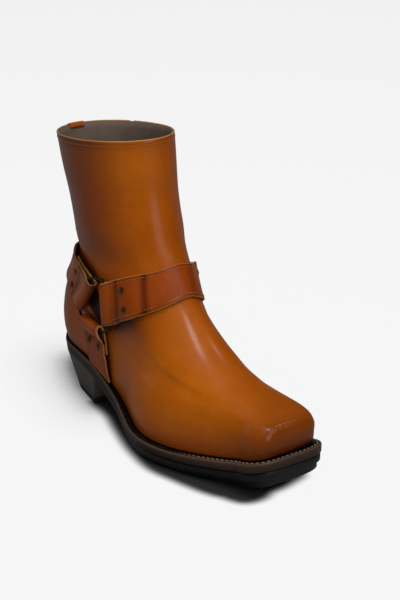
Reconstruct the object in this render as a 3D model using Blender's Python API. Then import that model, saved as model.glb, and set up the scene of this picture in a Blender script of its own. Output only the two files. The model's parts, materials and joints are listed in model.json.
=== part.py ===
"""Harness ankle boot with a square toe, right foot.

Sizes are in millimetres and turned to metres when a mesh is made.
+X is the toe, +Y the inner (medial) side, +Z up, and z = 0 the floor.
"""
import bmesh
import bpy
import numpy as np

for old in list(bpy.data.objects):
    bpy.data.objects.remove(old, do_unlink=True)

MM = 0.001

# Sections of the last
# A row is one section of the boot, from the feather line above the welt to the collar.
# It runs from a point on the front outline to a point on the back outline.
# Half widths are given at the heel, waist, ball and toe stations, outer side then inner.
COLUMNS = ("front_x", "front_z", "back_x", "back_z", "sag",
           "out_heel", "out_waist", "out_ball", "out_toe",
           "in_heel", "in_waist", "in_ball", "in_toe",
           "front_round", "front_power", "back_round")
SECTIONS = (
    (284, 31.5, 0, 45.5, 1.00, 31, 35, 50, 22, 31, 31, 47, 43, 24, 3.6, 40),
    (286.5, 42, -2.5, 57, 0.85, 33, 36.5, 52, 23.5, 33, 33, 49, 41.5, 24, 3.6, 40),
    (286, 51, -4, 69, 0.60, 33.5, 37, 51, 22.5, 33.5, 33, 45, 42, 25, 3.4, 41),
    (280, 58.5, -3.5, 81, 0.35, 33, 37, 47, 18.5, 33, 32, 37, 38.5, 29, 3.1, 42),
    (264, 65, -1.5, 92, 0.15, 32.5, 37, 41.5, 14, 32.5, 30, 28, 27, 50, 2.4, 43),
    (235, 74, 2.5, 102, 0.05, 32, 37, 40, 15.5, 32, 28, 26, 27, 64, 2.2, 45),
    (204, 88.5, 9, 113, 0, 32, 37, 40, 17, 32, 29, 27, 32, 82, 2.1, 48),
    (178, 106.5, 14, 123, 0, 33, 37.5, 41, 18, 33, 31, 27, 32, 84, 2.0, 52),
    (155, 128.5, 17, 133, 0, 34.5, 39, 43, 20, 34.5, 35, 27, 32, 74, 2.0, 58),
    (139, 151.5, 17, 144, 0, 37, 40, 44, 20, 37, 39, 27, 32, 66, 2.0, 60),
    (129.5, 174.5, 14, 158, 0, 38.5, 41, 44, 20, 38.5, 40, 27, 32, 62, 2.0, 60),
    (123, 198, 8, 179, 0, 39.5, 41, 44, 20, 39, 40, 27, 32, 61, 2.0, 60),
    (119, 222, -1, 203, 0, 40.5, 41.5, 44, 20, 39.5, 40.5, 27, 32, 60, 2.0, 60),
    (116, 246, -9, 228, 0, 41.5, 42, 44, 20, 40, 40.5, 27, 32, 61, 2.0, 61),
)
COLLAR = len(SECTIONS) - 1
OUT_STATIONS = (38, 112, 178, 262)
IN_STATIONS = (38, 112, 200, 262)

# Side profile of the sole: feather line, depth of the welt, depth of the outsole's upper
# band, how far the band below it steps in, underside, and width of the ledge
SOLE_PROFILE = (
    # x, feather, welt, band, step, under, ledge
    (-14, 45.5, 4.5, 5.0, 0.6, 35.0, 2.0),
    (0, 45.5, 4.5, 5.0, 0.6, 35.0, 2.0),
    (30, 44.5, 4.5, 5.0, 0.6, 34.0, 2.2),
    (60, 41.5, 4.6, 5.2, 0.6, 30.2, 3.4),
    (90, 34.5, 4.8, 5.6, 0.9, 20.6, 5.0),
    (125, 23.5, 5.6, 6.0, 1.8, 6.6, 6.4),
    (148, 18.7, 6.4, 6.2, 2.4, 0.9, 6.8),
    (160, 17.4, 6.8, 6.2, 2.4, 0.0, 6.8),
    (195, 17.0, 7.2, 6.4, 2.4, 0.0, 6.8),
    (216, 18.3, 7.6, 6.6, 2.4, 0.0, 6.8),
    (240, 21.3, 8.0, 6.7, 2.4, 1.8, 6.8),
    (262, 25.5, 8.4, 6.8, 2.4, 5.0, 7.0),
    (284, 31.5, 8.6, 6.8, 2.4, 9.2, 7.0),
    (300, 36.5, 8.6, 6.8, 2.4, 13.0, 7.0),
)

TOE_X, TOE_FEATHER = SECTIONS[0][0:2]
HEEL_FEATHER = SECTIONS[0][3]

UPPER_WALL = 2.2
SEAT_GAP = 0.3
WELT_ROUND = 1.6
OUTSOLE_INSET = 0.7
OUTSOLE_BEVEL = 0.8
INSOLE_THICK = 3.0
INSOLE_CLEAR = 1.1

HEEL_BREAST_TOP = 74.0
HEEL_BREAST_FOOT = 68.0
HEEL_BACK_TAPER = 0.22
# Taper of the sides at the breast, and what is added to it by the back
HEEL_SIDE_TAPER = 0.12
HEEL_BACK_NARROW = 0.25
TOP_LIFT = 6.0
HEEL_RISE = 35.0

STRAP_THICK = 2.2
STRAP_TAIL = 33.0
STIRRUP_TAIL = 24.0
WIRE_RADIUS = 1.2
WIRE_LIFT = 5.05
FOLD_RADIUS = 3.35
INNER_LAYER = WIRE_LIFT - FOLD_RADIUS
OUTER_LAYER = WIRE_LIFT + FOLD_RADIUS
LAID_LAYER = INNER_LAYER + STRAP_THICK + 0.5
RUN_LAYER = 2.4

# Lower and upper edge of each strap as section numbers, against the angle round the boot
INSTEP_EDGES = ((-28, 7.5, 8.58), (0, 7.75, 8.75), (28, 7.5, 8.58), (53, 7.0, 8.33),
                (78, 6.1, 7.8), (92, 5.3, 7.3), (105, 4.5, 6.8))
# Angle of each fold at even steps of the width, lower edge first
INSTEP_FOLD = (101.3, 96.8, 91.5, 86.3, 81.2)
BACK_EDGES = ((86, 2.9, 7.3), (94, 3.1, 7.6), (102, 3.35, 7.85), (111, 3.75, 8.05),
              (120, 4.2, 8.1), (128, 4.65, 8.1), (138, 5.0, 8.0), (150, 5.15, 7.9),
              (165, 5.05, 7.75), (180, 5.0, 7.65), (195, 5.05, 7.75))
BACK_FOLD = (120.7, 115.9, 109.4, 100.8, 89.8)
STIRRUP_ANGLES = (121.5, 107.5)
STIRRUP_FOLD = (3.9, 4.2)
STIRRUP_FOOT = 0.16
# How far the upper edge of each strap stands off, against the angle
INSTEP_STAND = ((0, 0.0), (40, 0.0), (70, 2.0), (92, 4.0), (108, 4.0))
BACK_STAND = ((86, 4.0), (104, 3.2), (122, 1.6), (140, 0.6), (180, 0.3))
RING_CORNER = 1.2
RING_SLACK = 0.6
RIVET_RADIUS = 2.6
RIVET_HEIGHT = 1.3
RIVET_GAP = 0.45

ROUND_STEPS = 48
SOLE_STEPS = 64
ZIP_COLUMNS = (32, 33)
ZIP_FOOT = 6.5
ZIP_HEAD = 12.95
ZIP_CLEAR = 0.5
SLIDER_SECTION = 12.3
TAB_LENGTH = 22.0
TAB_WIDTH = 6.0
TAB_THICK = 1.2
HINGE_LIFT = 3.6

CENTRE_X = 141.0
CENTRE_Y = -1.317

ANGLES = np.arange(ROUND_STEPS) * 360.0 / ROUND_STEPS
COLUMN = {name: np.array([row[i] for row in SECTIONS], float) for i, name in enumerate(COLUMNS)}
SOLE = {name: np.array(c, float) for name, c in zip(
    ("x", "feather", "welt", "band", "step", "under", "ledge"), zip(*SOLE_PROFILE))}


def smooth(xs, ys, x):
    """Smooth curve through the knots (xs, ys), level beyond the ends."""
    xs = np.asarray(xs, float)
    ys = np.asarray(ys, float)
    x = np.clip(np.asarray(x, float), xs[0], xs[-1])
    if ys.ndim == 1:
        ys = ys.reshape((-1,) + (1,) * x.ndim) * np.ones((1,) + x.shape)
    span = (xs[1:] - xs[:-1]).reshape((-1,) + (1,) * x.ndim)
    rise = (ys[1:] - ys[:-1]) / span
    slope = np.concatenate((rise[:1], (ys[2:] - ys[:-2]) / (span[1:] + span[:-1]), rise[-1:]))
    k = np.clip(np.searchsorted(xs, x, side="right") - 1, 0, len(xs) - 2)
    pick = k[None]
    y0, y1, m0, m1 = (np.take_along_axis(a, i, 0)[0]
                      for a, i in ((ys, pick), (ys, pick + 1), (slope, pick), (slope, pick + 1)))
    h = xs[k + 1] - xs[k]
    t = (x - xs[k]) / h
    return (y0 * (2 * t**3 - 3 * t**2 + 1) + m0 * h * (t**3 - 2 * t**2 + t)
            + y1 * (3 * t**2 - 2 * t**3) + m1 * h * (t**3 - t**2))


def sole(column, x):
    return smooth(SOLE["x"], SOLE[column], x)


def feather(x):
    return sole("feather", x)


def last(v, angle):
    """Points of the outer face at section v and angle: 0 toe, 90 outer side, 180 heel."""
    v, angle = np.broadcast_arrays(np.asarray(v, float), np.asarray(angle, float))
    rows = np.arange(len(SECTIONS))
    c = {name: smooth(rows, COLUMN[name], v) for name in COLUMNS}
    turn = np.radians(angle)
    length = c["front_x"] - c["back_x"]
    s = (1 + np.cos(turn)) / 2
    x = c["back_x"] + length * s
    to_front = np.clip((c["front_x"] - x) / c["front_round"], 0, 1)
    to_back = np.clip((x - c["back_x"]) / c["back_round"], 0, 1)
    power = c["front_power"]
    close = (1 - (1 - to_front)**power)**(1 / power) * np.sqrt(1 - (1 - to_back)**2)
    out = smooth(OUT_STATIONS, np.stack([c["out_" + n] for n in ("heel", "waist", "ball", "toe")]), x)
    inn = smooth(IN_STATIONS, np.stack([c["in_" + n] for n in ("heel", "waist", "ball", "toe")]), x)
    y = np.where(np.sin(turn) >= 0, -out, inn) * close
    level = HEEL_FEATHER + (TOE_FEATHER - HEEL_FEATHER) * np.clip(x / TOE_X, 0, 1)
    z = c["back_z"] + (c["front_z"] - c["back_z"]) * s + c["sag"] * (feather(x) - level)
    return np.stack((x, y, z), -1)


def skin(v, angle, lift=0.0):
    """Points lifted off the outer face along its outward normal."""
    v, angle, lift = np.broadcast_arrays(*(np.asarray(a, float) for a in (v, angle, lift)))
    e = 0.04
    low = np.clip(v - e, 0, COLLAR)
    high = np.clip(v + e, 0, COLLAR)
    up = last(high, angle) - last(low, angle)
    along = last(v, angle + 0.6) - last(v, angle - 0.6)
    n = np.cross(up, along)
    n = -n / np.linalg.norm(n, axis=-1, keepdims=True)
    return last(v, angle) + n * lift[..., None]


def outward_check():
    p = last(6.0, 90.0)
    return skin(6.0, 90.0, 1.0)[1] < p[1]


FLIP = 1.0 if outward_check() else -1.0


def lifted(v, angle, lift=0.0):
    return skin(v, angle, np.asarray(lift, float) * FLIP)


def material(name, colour, rough, metal=0.0):
    m = bpy.data.materials.new(name)
    m.use_nodes = True
    b = m.node_tree.nodes["Principled BSDF"]
    b.inputs["Base Color"].default_value = (*colour, 1.0)
    b.inputs["Roughness"].default_value = rough
    b.inputs["Metallic"].default_value = metal
    m.diffuse_color = (*colour, 1.0)
    return m


def node(name, verts, faces, mat, round_faces=True):
    """One closed body from points in millimetres."""
    pts = (np.asarray(verts, float) - (CENTRE_X, CENTRE_Y, 0)) * MM
    mesh = bpy.data.meshes.new(name)
    mesh.from_pydata([tuple(p) for p in pts], [], [tuple(int(i) for i in f) for f in faces])
    bm = bmesh.new()
    bm.from_mesh(mesh)
    bmesh.ops.recalc_face_normals(bm, faces=bm.faces)
    if bm.calc_volume(signed=True) < 0:
        bmesh.ops.reverse_faces(bm, faces=bm.faces)
    bm.to_mesh(mesh)
    bm.free()
    mesh.polygons.foreach_set("use_smooth", [round_faces] * len(mesh.polygons))
    mesh.materials.append(mat)
    obj = bpy.data.objects.new(name, mesh)
    bpy.context.collection.objects.link(obj)
    return obj


def ring_faces(a, b, n):
    """Quads between two closed loops of n points that start at a and b."""
    return [(a + i, a + (i + 1) % n, b + (i + 1) % n, b + i) for i in range(n)]


def ladder_faces(a, n):
    """Cap of a loop that is even about its first point: rungs from side to side."""
    half = n // 2
    faces = [(a, a + 1, a + n - 1)]
    for i in range(1, half - 1):
        faces.append((a + i, a + i + 1, a + n - i - 1, a + n - i))
    faces.append((a + half - 1, a + half, a + half + 1))
    return faces


# Colours
COGNAC = material("polished cognac leather", (0.36, 0.125, 0.026), 0.30)
STRAP_LEATHER = material("burnished strap leather", (0.25, 0.075, 0.018), 0.36)
WELT_LEATHER = material("dark brown welt leather", (0.060, 0.026, 0.014), 0.42)
RUBBER = material("black sole rubber", (0.018, 0.016, 0.015), 0.55)
HEEL_STACK = material("black heel stack", (0.022, 0.019, 0.017), 0.48)
LIFT_RUBBER = material("heel lift rubber", (0.012, 0.012, 0.012), 0.62)
INSOLE_LEATHER = material("grey brown insole leather", (0.10, 0.075, 0.055), 0.70)
BRASS = material("antique brass", (0.30, 0.22, 0.11), 0.38, 1.0)
NICKEL = material("dark nickel", (0.45, 0.43, 0.40), 0.30, 1.0)
ZIP_CLOTH = material("black zip tape", (0.015, 0.013, 0.012), 0.75)


def make_upper():
    """Hollow upper with its wall, open at the collar, underneath and down the zip slit."""
    levels = np.linspace(0, COLLAR, 2 * COLLAR + 1)
    count = len(levels)
    n = ROUND_STEPS
    v, angle = np.meshgrid(levels, ANGLES, indexing="ij")
    outer = lifted(v, angle)
    inner = lifted(v, angle, -UPPER_WALL)
    inner[0, :, 2] = outer[0, :, 2]
    inner[-1, :, 2] = outer[-1, :, 2]
    verts = np.concatenate((outer.reshape(-1, 3), inner.reshape(-1, 3)))
    shift = count * n
    foot = int(np.argmin(np.abs(levels - ZIP_FOOT)))
    a, b = ZIP_COLUMNS

    def slit(i, j):
        return j == a and i >= foot

    faces = []
    for i in range(count - 1):
        for j in range(n):
            k = (j + 1) % n
            if slit(i, j):
                continue
            p, q, r, s = i * n + j, i * n + k, (i + 1) * n + k, (i + 1) * n + j
            faces.append((p, q, r, s))
            faces.append((p + shift, s + shift, r + shift, q + shift))
    for j in range(n):
        k = (j + 1) % n
        faces.append((j, k, k + shift, j + shift))
        if j != a:
            t = (count - 1) * n
            faces.append((t + j, t + k, t + k + shift, t + j + shift))
    for i in range(foot, count - 1):
        for j in (a, b):
            p, q = i * n + j, (i + 1) * n + j
            faces.append((p, q, q + shift, p + shift))
    faces.append((foot * n + a, foot * n + b, foot * n + b + shift, foot * n + a + shift))
    return node("upper", verts, faces, COGNAC)


def plan_loop(outset):
    """Outline of the feather line in plan, moved outward by a function of x."""
    round_sole = np.arange(SOLE_STEPS) * 360.0 / SOLE_STEPS
    dense = last(0.0, round_sole)[:, :2]
    nxt = last(0.0, round_sole + 1.5)[:, :2]
    prv = last(0.0, round_sole - 1.5)[:, :2]
    t = nxt - prv
    nrm = np.stack((t[:, 1], -t[:, 0]), -1)
    nrm /= np.linalg.norm(nrm, axis=1, keepdims=True)
    centre = np.array((140.0, 0.0))
    if ((dense - centre) * nrm).sum() < 0:
        nrm = -nrm
    return dense + nrm * outset(dense[:, 0])[:, None]


def layer(name, rows, mat):
    """Sole layer from rows of (outset, height as a function of x), top row first."""
    n = SOLE_STEPS
    verts = []
    for outset, height in rows:
        p = plan_loop(outset)
        verts.append(np.column_stack((p, height(p[:, 0]))))
    faces = ladder_faces(0, n)
    for i in range(len(rows) - 1):
        faces += ring_faces(i * n, (i + 1) * n, n)
    faces += ladder_faces((len(rows) - 1) * n, n)
    return node(name, np.concatenate(verts), faces, mat, False)


def ledge(inset):
    return lambda x: sole("ledge", x) - inset


def welt_top(x):
    return feather(x) - SEAT_GAP


def welt_foot(x):
    return welt_top(x) - sole("welt", x)


def outsole_top(x):
    return welt_foot(x) - SEAT_GAP


def under(x):
    return np.maximum(sole("under", x), 0.0)


def step_height(x):
    return np.maximum(outsole_top(x) - sole("band", x), under(x) + 1.4)


def make_sole():
    r = WELT_ROUND
    layer("welt", (
        (ledge(r), welt_top),
        (ledge(0.4), lambda x: welt_top(x) - 0.5 * r),
        (ledge(0.0), lambda x: welt_top(x) - 1.4 * r),
        (ledge(0.0), lambda x: welt_foot(x) + 0.8),
        (ledge(0.8), welt_foot),
    ), WELT_LEATHER)
    e = OUTSOLE_INSET
    layer("outsole", (
        (ledge(e + 0.9), outsole_top),
        (ledge(e), lambda x: outsole_top(x) - 0.9),
        (ledge(e), lambda x: step_height(x) + 0.6),
        (ledge(e + 0.6), step_height),
        (lambda x: sole("ledge", x) - e - sole("step", x), lambda x: step_height(x) - 0.2),
        (lambda x: sole("ledge", x) - e - sole("step", x) - OUTSOLE_BEVEL, under),
    ), RUBBER)
    inset = UPPER_WALL + INSOLE_CLEAR
    layer("insole", (
        (lambda x: 0 * x - inset - 0.8, lambda x: feather(x) + INSOLE_THICK),
        (lambda x: 0 * x - inset, lambda x: feather(x) + INSOLE_THICK - 0.8),
        (lambda x: 0 * x - inset, feather),
    ), INSOLE_LEATHER)


def heel_loop(level):
    """Heel outline at a level from 0 at the seat to 1 at the floor: breast, back, breast."""
    loop = plan_loop(ledge(OUTSOLE_INSET + 0.3))
    breast = HEEL_BREAST_TOP + (HEEL_BREAST_FOOT - HEEL_BREAST_TOP) * level
    keep = [i for i in range(SOLE_STEPS) if loop[i, 0] < HEEL_BREAST_TOP - 3.0]
    side = [loop[i] for i in keep]

    def at_breast(i, j):
        t = (HEEL_BREAST_TOP - loop[i, 0]) / (loop[j, 0] - loop[i, 0])
        return loop[i] + t * (loop[j] - loop[i])

    pts = np.array([at_breast(keep[0], keep[0] - 1)] + side + [at_breast(keep[-1], keep[-1] + 1)])
    x = breast + (pts[:, 0] - HEEL_BREAST_TOP) * (1 - HEEL_BACK_TAPER * level)
    narrow = HEEL_SIDE_TAPER + HEEL_BACK_NARROW * (1 - pts[:, 0] / HEEL_BREAST_TOP)
    y = pts[:, 1] * (1 - narrow * level)
    return np.column_stack((x, y))


def heel_layer(name, levels, heights, mat):
    verts = []
    for level, height in zip(levels, heights):
        p = heel_loop(level)
        verts.append(np.column_stack((p, height(p[:, 0]))))
    n = len(verts[0])
    faces = []
    for i in range(len(verts) - 1):
        faces += ring_faces(i * n, (i + 1) * n, n)
    for a in (0, (len(verts) - 1) * n):
        for i in range(n // 2 - (0 if n % 2 else 1)):
            j = n - 1 - i
            if j - i > 2:
                faces.append((a + i, a + i + 1, a + j - 1, a + j))
            else:
                faces.append((a + i, a + i + 1, a + j))
    return node(name, np.concatenate(verts), faces, mat, False)


def make_heel():
    seat = lambda x: under(x) - SEAT_GAP
    rise = HEEL_RISE
    cut = 1 - TOP_LIFT / rise
    heel_layer("heel", (0, 0.4, cut - 0.01), (
        seat,
        lambda x: seat(x) * 0.6,
        lambda x: 0 * x + TOP_LIFT + 0.2,
    ), HEEL_STACK)
    heel_layer("heel_top_lift", (cut, 1.0), (
        lambda x: 0 * x + TOP_LIFT,
        lambda x: 0 * x,
    ), LIFT_RUBBER)


def edge_at(edges, angle, w):
    """Section number at a share w of the strap's width."""
    a, low, high = (np.array(c, float) for c in zip(*edges))
    vb = smooth(a, low, angle)
    vt = smooth(a, high, angle)
    return vb + (vt - vb) * w


def strap_lane(edges, fold, end, stand):
    """Function from (distance from the fold, share of width) to (section, angle, extra lift)."""
    middle = fold[len(fold) // 2]
    shares = np.linspace(0, 1, len(fold))
    walk = np.linspace(middle, end, 120)
    line = lifted(edge_at(edges, walk, 0.5), walk, RUN_LAYER)
    reach = np.concatenate(([0], np.cumsum(np.linalg.norm(np.diff(line, axis=0), axis=1))))

    def lane(s, w):
        angle = np.interp(s, reach, walk)
        lean = (smooth(shares, fold, w) - middle) * np.clip(1 - (s - 12.0) / 45.0, 0, 1)
        angle = angle + lean
        off = smooth(*zip(*stand), angle) * np.clip(w, 0, 1.1)
        return edge_at(edges, angle, w), angle, off

    return lane, reach[-1]


def fold_path(length, tail):
    """Middle line of a folded end as (distance from the fold, lift): run, bend, tail."""
    run = [(s, RUN_LAYER) for s in np.linspace(length, 52, 9)]
    knots = ((45, RUN_LAYER + 0.3), (38, LAID_LAYER - 0.5), (33, LAID_LAYER), (24, LAID_LAYER),
             (18, LAID_LAYER + 0.3), (13.5, 5.8), (10, 7.5), (6.8, OUTER_LAYER))
    bend_at = FOLD_RADIUS + STRAP_THICK / 2
    bend = [(bend_at - FOLD_RADIUS * np.sin(a), WIRE_LIFT + FOLD_RADIUS * np.cos(a))
            for a in np.radians((0, 30, 60, 90, 120, 150, 180))]
    back = [(s, INNER_LAYER) for s in (8, 14, 20.5, 27, tail)]
    return run + list(knots) + bend + back


def band(name, path, place, mat, widths=4):
    """Band of leather along a path of (key, distance, lift) with a share w across."""
    keys = [p[0] for p in path]
    s = np.array([p[1] for p in path], float)
    o = np.array([p[2] for p in path], float)
    sign = np.array([p[3] for p in path], float)
    ds, do = np.gradient(np.where(sign > 0, s, 2 * s.max() - s)), np.gradient(o)
    size = np.hypot(ds, do)
    ns, no = -do / size * sign, ds / size
    across = np.linspace(0, 1, widths)
    faces_of = []
    for half in (0.5, -0.5):
        rows = []
        for i in range(len(path)):
            rows.append(place(keys[i], s[i] + ns[i] * half * STRAP_THICK, across,
                              o[i] + no[i] * half * STRAP_THICK))
        faces_of.append(np.array(rows))
    n, m = len(path), widths
    verts = np.concatenate([f.reshape(-1, 3) for f in faces_of])
    b = n * m
    faces = []
    for i in range(n - 1):
        for j in range(m - 1):
            p, q, r, t = i * m + j, i * m + j + 1, (i + 1) * m + j + 1, (i + 1) * m + j
            faces.append((p, q, r, t))
            faces.append((b + p, b + t, b + r, b + q))
        for j in (0, m - 1):
            p, q = i * m + j, (i + 1) * m + j
            faces.append((p, q, b + q, b + p))
    for i in (0, n - 1):
        for j in range(m - 1):
            p, q = i * m + j, i * m + j + 1
            faces.append((p, q, b + q, b + p))
    return node(name, verts, faces, mat)


def side_angle(side, angle):
    return angle if side == "outer" else 360.0 - angle


instep_lane, instep_reach = strap_lane(INSTEP_EDGES, INSTEP_FOLD, 0.0, INSTEP_STAND)
back_lane, back_reach = strap_lane(BACK_EDGES, BACK_FOLD, 180.0, BACK_STAND)


def make_wrapped_strap(name, lane, reach):
    """Strap from ring to ring, both ends folded round the ring wire."""
    half = fold_path(reach, STRAP_TAIL)
    path = [("outer", s, o, 1.0) for s, o in half[::-1]]
    path += [("inner", s, o, -1.0) for s, o in half[1:]]

    def place(side, s, w, lift):
        v, angle, off = lane(s, w)
        return lifted(v, side_angle(side, angle), lift + off)

    return band(name, path, place, STRAP_LEATHER)


stirrup_middle = sum(STIRRUP_ANGLES) / 2
stirrup_walk = np.linspace(sum(STIRRUP_FOLD) / 2, STIRRUP_FOOT, 60)
stirrup_line = lifted(stirrup_walk, stirrup_middle, RUN_LAYER)
stirrup_steps = np.concatenate(
    ([0], np.cumsum(np.linalg.norm(np.diff(stirrup_line, axis=0), axis=1))))
STIRRUP_REACH = float(stirrup_steps[-1])


def stirrup_lane(s, w):
    v = np.interp(s, stirrup_steps, stirrup_walk)
    fade = np.clip((STIRRUP_REACH - s) / (STIRRUP_REACH - 12.0), 0, 1)
    slope = (STIRRUP_FOLD[1] - STIRRUP_FOLD[0]) * (w - 0.5) * fade
    return v + slope, STIRRUP_ANGLES[0] + (STIRRUP_ANGLES[1] - STIRRUP_ANGLES[0]) * w, 0.0


def make_stirrup(name, side):
    """Strap from the ring down to the welt, in two layers that part round the wire."""
    end = STIRRUP_REACH
    outer_run = ((end, RUN_LAYER), (0.9 * end, RUN_LAYER + 0.2), (29, LAID_LAYER - 0.7),
                 (24, LAID_LAYER), (16, LAID_LAYER), (13, 5.6), (9.8, 7.5), (6.8, OUTER_LAYER))
    bend_at = FOLD_RADIUS + STRAP_THICK / 2
    bend = [(bend_at - FOLD_RADIUS * np.sin(a), WIRE_LIFT + FOLD_RADIUS * np.cos(a))
            for a in np.radians((0, 30, 60, 90, 120, 150, 180))]
    inner_run = [(s, INNER_LAYER) for s in (9, 16, STIRRUP_TAIL)]
    path = [(side, s, o, 1.0) for s, o in list(outer_run) + bend + inner_run]

    def place(key, s, w, lift):
        v, angle, _ = stirrup_lane(s, w)
        return lifted(v, side_angle(key, angle), lift)

    return band(name, path, place, STRAP_LEATHER)


def make_ring(name, side):
    """Three sided wire ring that lies in the folds of the three straps."""
    at = FOLD_RADIUS + STRAP_THICK / 2 + RING_SLACK

    def on(lane, w):
        v, angle, off = lane(at, w)
        return lifted(v, side_angle(side, angle), WIRE_LIFT + off)

    sides = [[on(lane, w) for w in np.linspace(*ws, 7)]
             for lane, ws in ((instep_lane, (1.04, -0.04)), (stirrup_lane, (1.04, -0.04)),
                              (back_lane, (-0.04, 1.04)))]
    middle = np.mean([p for part in sides for p in part], axis=0)
    line = []
    for k in range(3):
        line += sides[k]
        a, b = sides[k][-1], sides[(k + 1) % 3][0]
        out = (a + b) / 2 - middle
        out /= np.linalg.norm(out)
        line += [a + (b - a) * t + out * RING_CORNER for t in (0.25, 0.75)]
    line = np.array(line)
    n, m = len(line), 8
    ahead = np.roll(line, -1, 0) - np.roll(line, 1, 0)
    ahead /= np.linalg.norm(ahead, axis=1, keepdims=True)
    face = np.cross(sides[0][-1] - sides[0][0], sides[1][-1] - sides[1][0])
    face /= np.linalg.norm(face)
    side_way = np.cross(ahead, face)
    side_way /= np.linalg.norm(side_way, axis=1, keepdims=True)
    lift_way = np.cross(side_way, ahead)
    verts = []
    for j in range(m):
        t = 2 * np.pi * j / m
        verts.append(line + WIRE_RADIUS * (np.cos(t) * side_way + np.sin(t) * lift_way))
    verts = np.stack(verts, 1).reshape(-1, 3)
    faces = []
    for i in range(n):
        k = (i + 1) % n
        for j in range(m):
            q = (j + 1) % m
            faces.append((i * m + j, i * m + q, k * m + q, k * m + j))
    return node(name, verts, faces, NICKEL)


def frame_at(v, angle, lift):
    """Origin, direction along the strap or zip, direction across, and outward normal."""
    p = lifted(v, angle, lift)
    n = lifted(v, angle, lift + 1.0) - p
    n /= np.linalg.norm(n)
    up = lifted(v + 0.2, angle, lift) - p
    up -= n * (up @ n)
    up /= np.linalg.norm(up)
    return p, up, np.cross(up, n), n


def make_rivet(name, v, angle, lift):
    p, up, across, n = frame_at(v, angle, lift)
    m = 10
    verts = []
    for r, h in ((1.0, 0.0), (1.0, 0.5), (0.55, 1.0)):
        for j in range(m):
            t = 2 * np.pi * j / m
            verts.append(p + RIVET_RADIUS * r * (np.cos(t) * up + np.sin(t) * across)
                         + n * RIVET_HEIGHT * h)
    faces = [tuple(range(m)), tuple(range(2 * m, 3 * m))]
    faces += ring_faces(0, m, m) + ring_faces(m, 2 * m, m)
    return node(name, np.array(verts), faces, BRASS)


def make_rivets():
    seat = STRAP_THICK / 2 + RIVET_GAP
    for side in ("outer", "inner"):
        for label, lane, s in (("instep_strap", instep_lane, 28.0), ("back_strap", back_lane, 28.0),
                               ("stirrup", stirrup_lane, 20.0)):
            for word, w in (("low", 0.27), ("high", 0.73)):
                v, angle, off = lane(s, w)
                make_rivet(f"{side}_{label}_rivet_{word}", float(v),
                           float(side_angle(side, angle)), float(LAID_LAYER + off) + seat)


def make_zip():
    """Tape with its row of teeth, set in the slit of the upper."""
    a, b = (ANGLES[c] for c in ZIP_COLUMNS)
    rows = np.linspace(ZIP_FOOT, ZIP_HEAD, 14)
    rows[0] += 0.06
    half = 0.5 * np.linalg.norm(last(9.0, a) - last(9.0, b))
    edge = ZIP_CLEAR / (2 * half)
    cross = ((edge, -2.0), (1 - edge, -2.0), (1 - edge, -0.7), (0.68, -0.7),
             (0.62, 0.3), (0.38, 0.3), (0.32, -0.7), (edge, -0.7))
    verts = []
    for v in rows:
        for share, lift in cross:
            flat = last(v, a) + (last(v, b) - last(v, a)) * share
            out = lifted(v, a + (b - a) * share, 1.0) - last(v, a + (b - a) * share)
            verts.append(flat + out * lift)
    m = len(cross)
    faces = []
    for i in range(len(rows) - 1):
        faces += ring_faces(i * m, (i + 1) * m, m)
    for base in (0, (len(rows) - 1) * m):
        faces.append((base, base + 1, base + 2, base + 3, base + 6, base + 7))
        faces.append((base + 3, base + 4, base + 5, base + 6))
    node("zip", np.array(verts), faces, ZIP_CLOTH, False)


def local_block(frame, lows, highs):
    p, up, across, n = frame
    verts = []
    for k in range(8):
        q = [(highs if k >> i & 1 else lows)[i] for i in range(3)]
        verts.append(p + up * q[0] + across * q[1] + n * q[2])
    faces = ((0, 1, 3, 2), (4, 6, 7, 5), (0, 4, 5, 1), (2, 3, 7, 6), (0, 2, 6, 4), (1, 5, 7, 3))
    return np.array(verts), faces


def make_slider():
    """Zip slider: a base plate with an arch that the pull tab's bar sits under."""
    frame = frame_at(SLIDER_SECTION, sum(ANGLES[c] for c in ZIP_COLUMNS) / 2, 0.0)
    pieces = (((-5.0, -3.5, 0.7), (5.0, 3.5, 2.3)),
              ((-4.4, -0.8, 2.0), (-3.4, 0.8, 5.9)),
              ((3.4, -0.8, 2.0), (4.4, 0.8, 5.9)),
              ((-4.2, -0.7, 4.9), (4.2, 0.7, 5.8)))
    made = []
    for i, (low, high) in enumerate(pieces):
        v, f = local_block(frame, low, high)
        made.append(node("zip_slider" if i == 0 else f"slider_piece_{i}", v, f, NICKEL, False))
    base = made[0]
    for extra in made[1:]:
        mod = base.modifiers.new("join", "BOOLEAN")
        mod.operation = "UNION"
        mod.solver = "EXACT"
        mod.object = extra
    solid = bpy.data.meshes.new_from_object(base.evaluated_get(bpy.context.evaluated_depsgraph_get()))
    base.modifiers.clear()
    base.data = solid
    for extra in made[1:]:
        bpy.data.objects.remove(extra, do_unlink=True)
    return frame


def make_tab(frame):
    """Pull tab hanging from the bar at its head, with a window for the slider's arch."""
    p, up, across, n = frame
    cols = (-TAB_WIDTH / 2, -1.6, 1.6, TAB_WIDTH / 2)
    rows = (0.65, -0.65, -5.6, -TAB_LENGTH)
    narrow = (1.0, 1.0, 1.0, 0.82)
    verts = []
    for lift in (HINGE_LIFT - TAB_THICK / 2, HINGE_LIFT + TAB_THICK / 2):
        for r, k in zip(rows, narrow):
            for c in cols:
                verts.append(p + up * r + across * c * k + n * lift)
    faces = []
    for i in range(3):
        for j in range(3):
            if (i, j) == (1, 1):
                continue
            q = (i * 4 + j, i * 4 + j + 1, (i + 1) * 4 + j + 1, (i + 1) * 4 + j)
            faces.append(q)
            faces.append(tuple(16 + k for k in q[::-1]))
    rim = [0, 1, 2, 3, 7, 11, 15, 14, 13, 12, 8, 4]
    hole = [5, 6, 10, 9]
    for loop in (rim, hole):
        for i in range(len(loop)):
            u, w = loop[i], loop[(i + 1) % len(loop)]
            faces.append((u, w, w + 16, u + 16))
    return node("zip_pull_tab", np.array(verts), faces, NICKEL, False)


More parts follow.
